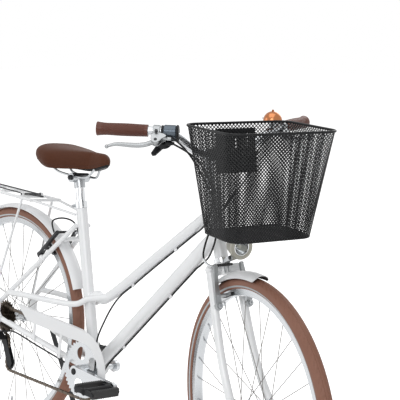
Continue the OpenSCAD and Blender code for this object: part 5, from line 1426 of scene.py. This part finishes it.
# Middle in (x, z), pitch radius, and +1 where the loop goes round outside the wheel
pulleys = [((bb.x, bb.z), pitch_radius(RING_TEETH), 1), ((0, WHEEL_R), pitch_radius(COG_TEETH), 1),
           ((26, WHEEL_R - 72), pitch_radius(JOCKEY_TEETH), -1),
           ((66, WHEEL_R - 136), pitch_radius(JOCKEY_TEETH), 1)]


def run_angle(a, b):
    """Direction of the straight run between two pulleys."""
    dx, dz = b[0][0] - a[0][0], b[0][1] - a[0][1]
    return math.atan2(dz, dx) - math.asin((b[2] * b[1] - a[2] * a[1]) / math.hypot(dx, dz))


loop = []
for i, (middle, radius, way) in enumerate(pulleys):
    start = run_angle(pulleys[i - 1], pulleys[i])
    stop = run_angle(pulleys[i], pulleys[(i + 1) % len(pulleys)])
    sweep = (stop - start) % (2 * math.pi) if way > 0 else -((start - stop) % (2 * math.pi))
    for a in (start + sweep * k / ARC_STEPS for k in range(ARC_STEPS + 1)):
        x, z = middle[0] + way * radius * math.sin(a), middle[1] - way * radius * math.cos(a)
        loop.append(Vector((x, CHAIN_Y, z)))


def even_steps(route, pitch):
    """Points at equal distances round a closed route, an even number of them."""
    lengths = [(route[(i + 1) % len(route)] - p).length for i, p in enumerate(route)]
    count = 2 * round(sum(lengths) / pitch / 2)
    step = sum(lengths) / count
    out, i, walked = [], 0, 0.0
    for k in range(count):
        while walked + lengths[i] < k * step:
            walked += lengths[i]
            i += 1
        out.append(route[i].lerp(route[(i + 1) % len(route)], (k * step - walked) / lengths[i]))
    return out


pins = even_steps(loop, PITCH)
print("chain links:", len(pins))

# %% Chain's links
LINK_END, LINK_WAIST, LINK_T = 4.2, 3.1, 1.0
INNER_Y, OUTER_Y = 1.35, 2.4
ROLLER = [(-1.25, 0.1), (-1.25, 3.8), (1.25, 3.8), (1.25, 0.1)]
PIN = [(-3.7, 0.1), (-3.7, 1.5), (-3.4, 1.8), (3.4, 1.8), (3.7, 1.5), (3.7, 0.1)]
links, rollers = [], []
for i, p in enumerate(pins):
    q = pins[(i + 1) % len(pins)]
    ahead = (q - p).normalized()
    side = Vector((-ahead.z, 0, ahead.x))
    half = (q - p).length / 2
    arc = [math.pi * (k / 8 - 0.5) for k in range(9)]
    outline = [(half + LINK_END * math.cos(a), LINK_END * math.sin(a)) for a in arc]
    outline = outline + [(0, LINK_WAIST)] + [(-u, -v) for u, v in outline] + [(0, -LINK_WAIST)]
    flat = [(p + q) / 2 + ahead * u + side * v for u, v in outline]
    near = INNER_Y if i % 2 else OUTER_Y
    for s in (-1, 1):
        links.append(join_rings([[c + Vector((0, s * y, 0)) for c in flat] for y in (near, near + LINK_T)]))
    rollers += [turned(ROLLER, aimed(p, (0, 1, 0)), 14), turned(PIN, aimed(p, (0, 1, 0)), 10)]
chain_skin = piece("chain_links", merged(*links, *rollers), BIKE, "frame", oiled_steel)
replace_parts(chain_skin, "chain")
print("chain:", len(chain_skin.data.polygons), "faces")

# %% [markdown]
# Spoke nipples and valves. A nipple is a small flanged nut on the spoke's outer end, so it lies along its
# spoke, and every wheel has one valve between two spokes. Both are turned profiles, and each wheel's are
# one mesh, because they turn together.

# %% Nipples and valves
SPOKES, RIM_IN_R, FLANGE_R, CROSS = 32, 297.5, 24.0, math.radians(68)
NIPPLE_SUNK, HOLES_IN, RIM_STAGGER = 0.4, 4.0, 2.0
NIPPLE = [(-0.4, 0.1), (-0.4, 2.6), (1, 2.6), (1.6, 2.0), (9, 2.0), (11, 1.5), (11, 0.1)]
VALVE = [(-1, 0.1), (-1, 5), (2, 5), (2, 3), (20, 3), (20, 3.8), (34, 3.8), (36, 2.6), (36, 0.1)]


def nipple_set(middle, flange_left, flange_right):
    """A wheel's nipples, each aimed from the rim at the place where its spoke leaves the hub's flange."""
    parts = []
    for i, a in enumerate(round_angles(SPOKES)):
        b = a + (CROSS if i // 2 % 2 == 0 else -CROSS)
        y_rim, y_hub = (RIM_STAGGER, flange_left) if i % 2 == 0 else (-RIM_STAGGER, -flange_right)
        rim_end = wheel_out(a) * (RIM_IN_R - NIPPLE_SUNK) + Vector((0, y_rim, 0))
        hub_end = wheel_out(b) * (FLANGE_R - HOLES_IN) + Vector((0, y_hub, 0))
        parts.append(turned(NIPPLE, aimed(middle + rim_end, hub_end - rim_end), 12))
    return parts


VALVE_AT = 2 * math.pi * (24.5 / SPOKES)
FLANGES = ((33, 33), (34, 22))
for (end, middle, place), flanges in zip(wheels, FLANGES):
    out = wheel_out(VALVE_AT)
    valve = turned(VALVE, aimed(middle + out * RIM_IN_R, -out, (0, 1, 0)), 20)
    nipples = merged(*nipple_set(middle, *flanges), valve)
    piece(end + "_nipples", nipples, place, end + "_wheel", bright_steel)
print("nipples:", 2 * SPOKES)

# %% [markdown]
# Bolts, caps and nuts. They are small, but a bicycle without them looks like a toy. A nut is the same turned
# profile with six steps, and a bolt head reuses the brake's.

# %% Bolts and caps
COLLAR_S, SEAT_R, CRANK_Y = 485.0, 16.5, 81.0
EAR_OUT, EAR_HALF, CLAMP_NUT_Y, NUT_FLATS = 4, 13, 31, 14


def hex_nut(at, along, across_flats, height):
    """A six-sided nut with a domed end of its stud."""
    r = across_flats / math.sqrt(3)
    place = aimed(at, along, (0.2, 0.3, 0.9))
    stud = turned([(0, 0.1), (0, r * 0.55), (height + 2, r * 0.55), (height + 3, r * 0.4),
                   (height + 3, 0.1)], place, 20)
    nut = turned([(0, 0.1), (0, r), (height - 0.6, r), (height, r * 0.88), (height, 0.1)], place, 6)
    return merged(nut, stud)


stem_bolts = [bolt_head(on_head(CLAMP_S + 4), head_dir, 6, 5.5),
              bolt_head(on_head(CLAMP_S - 16.6, STEM_REACH), -head_dir, 5, 5)]
piece("stem_bolts", merged(*stem_bolts), BARS, "front", bright_steel)
collar_bolt = [bolt_head(on_seat(COLLAR_S, -SEAT_R - EAR_OUT, EAR_HALF), (0, 1, 0), 4.8, 4.5),
               hex_nut(on_seat(COLLAR_S, -SEAT_R - EAR_OUT, -EAR_HALF), (0, -1, 0), 9, 4.5)]
piece("collar_bolt", merged(*collar_bolt), BIKE, "frame", bright_steel)
nuts = [hex_nut(clamp_top + Vector((0, s * CLAMP_NUT_Y, 0)), (0, s, 0), NUT_FLATS, 7) for s in (LEFT, RIGHT)]
piece("saddle_clamp_nuts", merged(*nuts), BIKE, "seat", dark_steel)
caps = [turned([(-1, 0.1), (-1, 9.5), (1.2, 9.5), (2.2, 8.4), (2.6, 5), (2.4, 0.1)],
               aimed(bb + Vector((0, s * CRANK_Y, 0)), (0, s, 0)), 32) for s in (LEFT, RIGHT)]
piece("crank_caps", merged(*caps), BIKE, "crank", black_nylon)
print("bolts, nuts and caps:", len(stem_bolts) + len(collar_bolt) + len(nuts) + len(caps))

# %% [markdown]
# The pedals: two ribbed rubber blocks between end plates, on a barrel that turns on the crank's pin. The
# ribs are cut by lofting each block along its length with a height that steps in and out.

# %% Pedals
PEDAL_Y, PEDAL_W, PEDAL_H, CRANK_LEN = 83.0, 95.0, 24.0, 170.0
RUBBER_X, RUBBER_HALF, RUBBER_EDGE, RUBBER_INSET, RIB_DEEP = 35.5, 6.5, 1.5, 3.0, 1.4
RIB_STEPS, PLATE_T = 56, 7


def rib_block(k, x_middle):
    """One rubber block, its top and bottom stepped into ribs."""
    wide, shoulder = RUBBER_HALF, RUBBER_HALF - RUBBER_EDGE
    rings = []
    for i in range(RIB_STEPS + 1):
        y = PEDAL_Y + RUBBER_INSET + (PEDAL_W - 2 * RUBBER_INSET) * i / RIB_STEPS
        high = PEDAL_H / 2 - (RIB_DEEP if i % 4 in (2, 3) else 0.0)
        cut = high - RUBBER_EDGE
        section = ((-shoulder, -high), (shoulder, -high), (wide, -cut), (wide, cut), (shoulder, high),
                   (-shoulder, high), (-wide, cut), (-wide, -cut))
        rings.append([Vector((x_middle + x, k * y, z)) for x, z in section])
    return join_rings(rings)


END_PLATE = rounded([(-40, -7), (40, -7), (42, 0), (40, 7), (-40, 7), (-42, 0)])
BARREL = [(1, 6.4), (1, 10), (4, 11), (12, 9.4), (PEDAL_W - 14, 8.6), (PEDAL_W - 8, 10.5),
          (PEDAL_W - 0.5, 10), (PEDAL_W, 8), (PEDAL_W, 0.1), (PEDAL_W - 4, 0.1), (PEDAL_W - 4, 6.4)]
for k, side in SIDES:
    place = BIKE @ Matrix.Translation(bb + Vector((-k * CRANK_LEN, 0, 0)))
    near = sorted((k * PEDAL_Y, k * (PEDAL_Y + PLATE_T)))
    far = sorted((k * (PEDAL_Y + PEDAL_W - PLATE_T), k * (PEDAL_Y + PEDAL_W)))
    barrel = turned(BARREL, aimed((0, k * PEDAL_Y, 0), (0, k, 0)), 36)
    body_shape = merged(barrel, plate(END_PLATE, *near), plate(END_PLATE, *far))
    made = piece("pedal_body_" + side, body_shape, place, "pedal_" + side, black_nylon)
    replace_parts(made, "pedal_" + side)
    rubbers = merged(rib_block(k, RUBBER_X), rib_block(k, -RUBBER_X))
    piece("pedal_rubbers_" + side, rubbers, place, "pedal_" + side, block_rubber)
print("pedals:", PEDAL_W, "mm wide")

# %% [markdown]
# The side stand is one straight leg on a pivot barrel, with a rubber shoe on the ground. The leg is a tube,
# and the barrel and the shoe are turned. The shoe ends in the same ball that the solid stands on.

# %% Side stand
SHOE_R, FOOT_X, FOOT_Y = 11.0, 112.0, 200.0
LEG_R, SHOE_TOP = 7.5, -46
stand_top = Vector((76, DROP_Y + 17, WHEEL_R - 14))
foot_z = TYRE_W / 2 + (FOOT_Y * math.sin(LEAN) - TYRE_W / 2 + SHOE_R) / math.cos(LEAN)
stand_foot = Vector((FOOT_X, FOOT_Y, foot_z))
stand_axis = (stand_foot - stand_top).cross(Vector((-0.99, 0.1, 0.08))).normalized()
leg_dir = (stand_foot - stand_top).normalized()
leg_len = (stand_foot - stand_top).length
leg_stations = (4, 20, 60, leg_len / 2, leg_len - 60, leg_len - 30)
leg = tube([stand_top + leg_dir * t for t in leg_stations], LEG_R, 24)
knuckle = turned([(-8, 5.3), (-8, 11), (-7, 12), (7, 12), (8, 11), (8, 5.3)],
                 aimed(stand_top, stand_axis, (1, 0, 0)), 40)
stand_skin = piece("stand_leg", merged(leg, knuckle), BIKE, "stand", dark_steel)
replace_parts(stand_skin, "stand")
quarter = [math.pi / 2 * k / 10 for k in range(11)]
shoe_line = [(SHOE_TOP, 7.7), (-45, 8.8), (-42, 9.2), (-20, 9.6), (-8, 10.4)]
shoe_line += [(SHOE_R * math.sin(a), max(SHOE_R * math.cos(a), 0.05)) for a in quarter]
shoe = turned(shoe_line + [(SHOE_TOP, 0.05)], aimed(stand_foot, leg_dir, (1, 0, 0)), 40)
piece("stand_shoe", shoe, BIKE, "stand", block_rubber)
print("stand foot at", tuple(round(c, 1) for c in stand_foot))
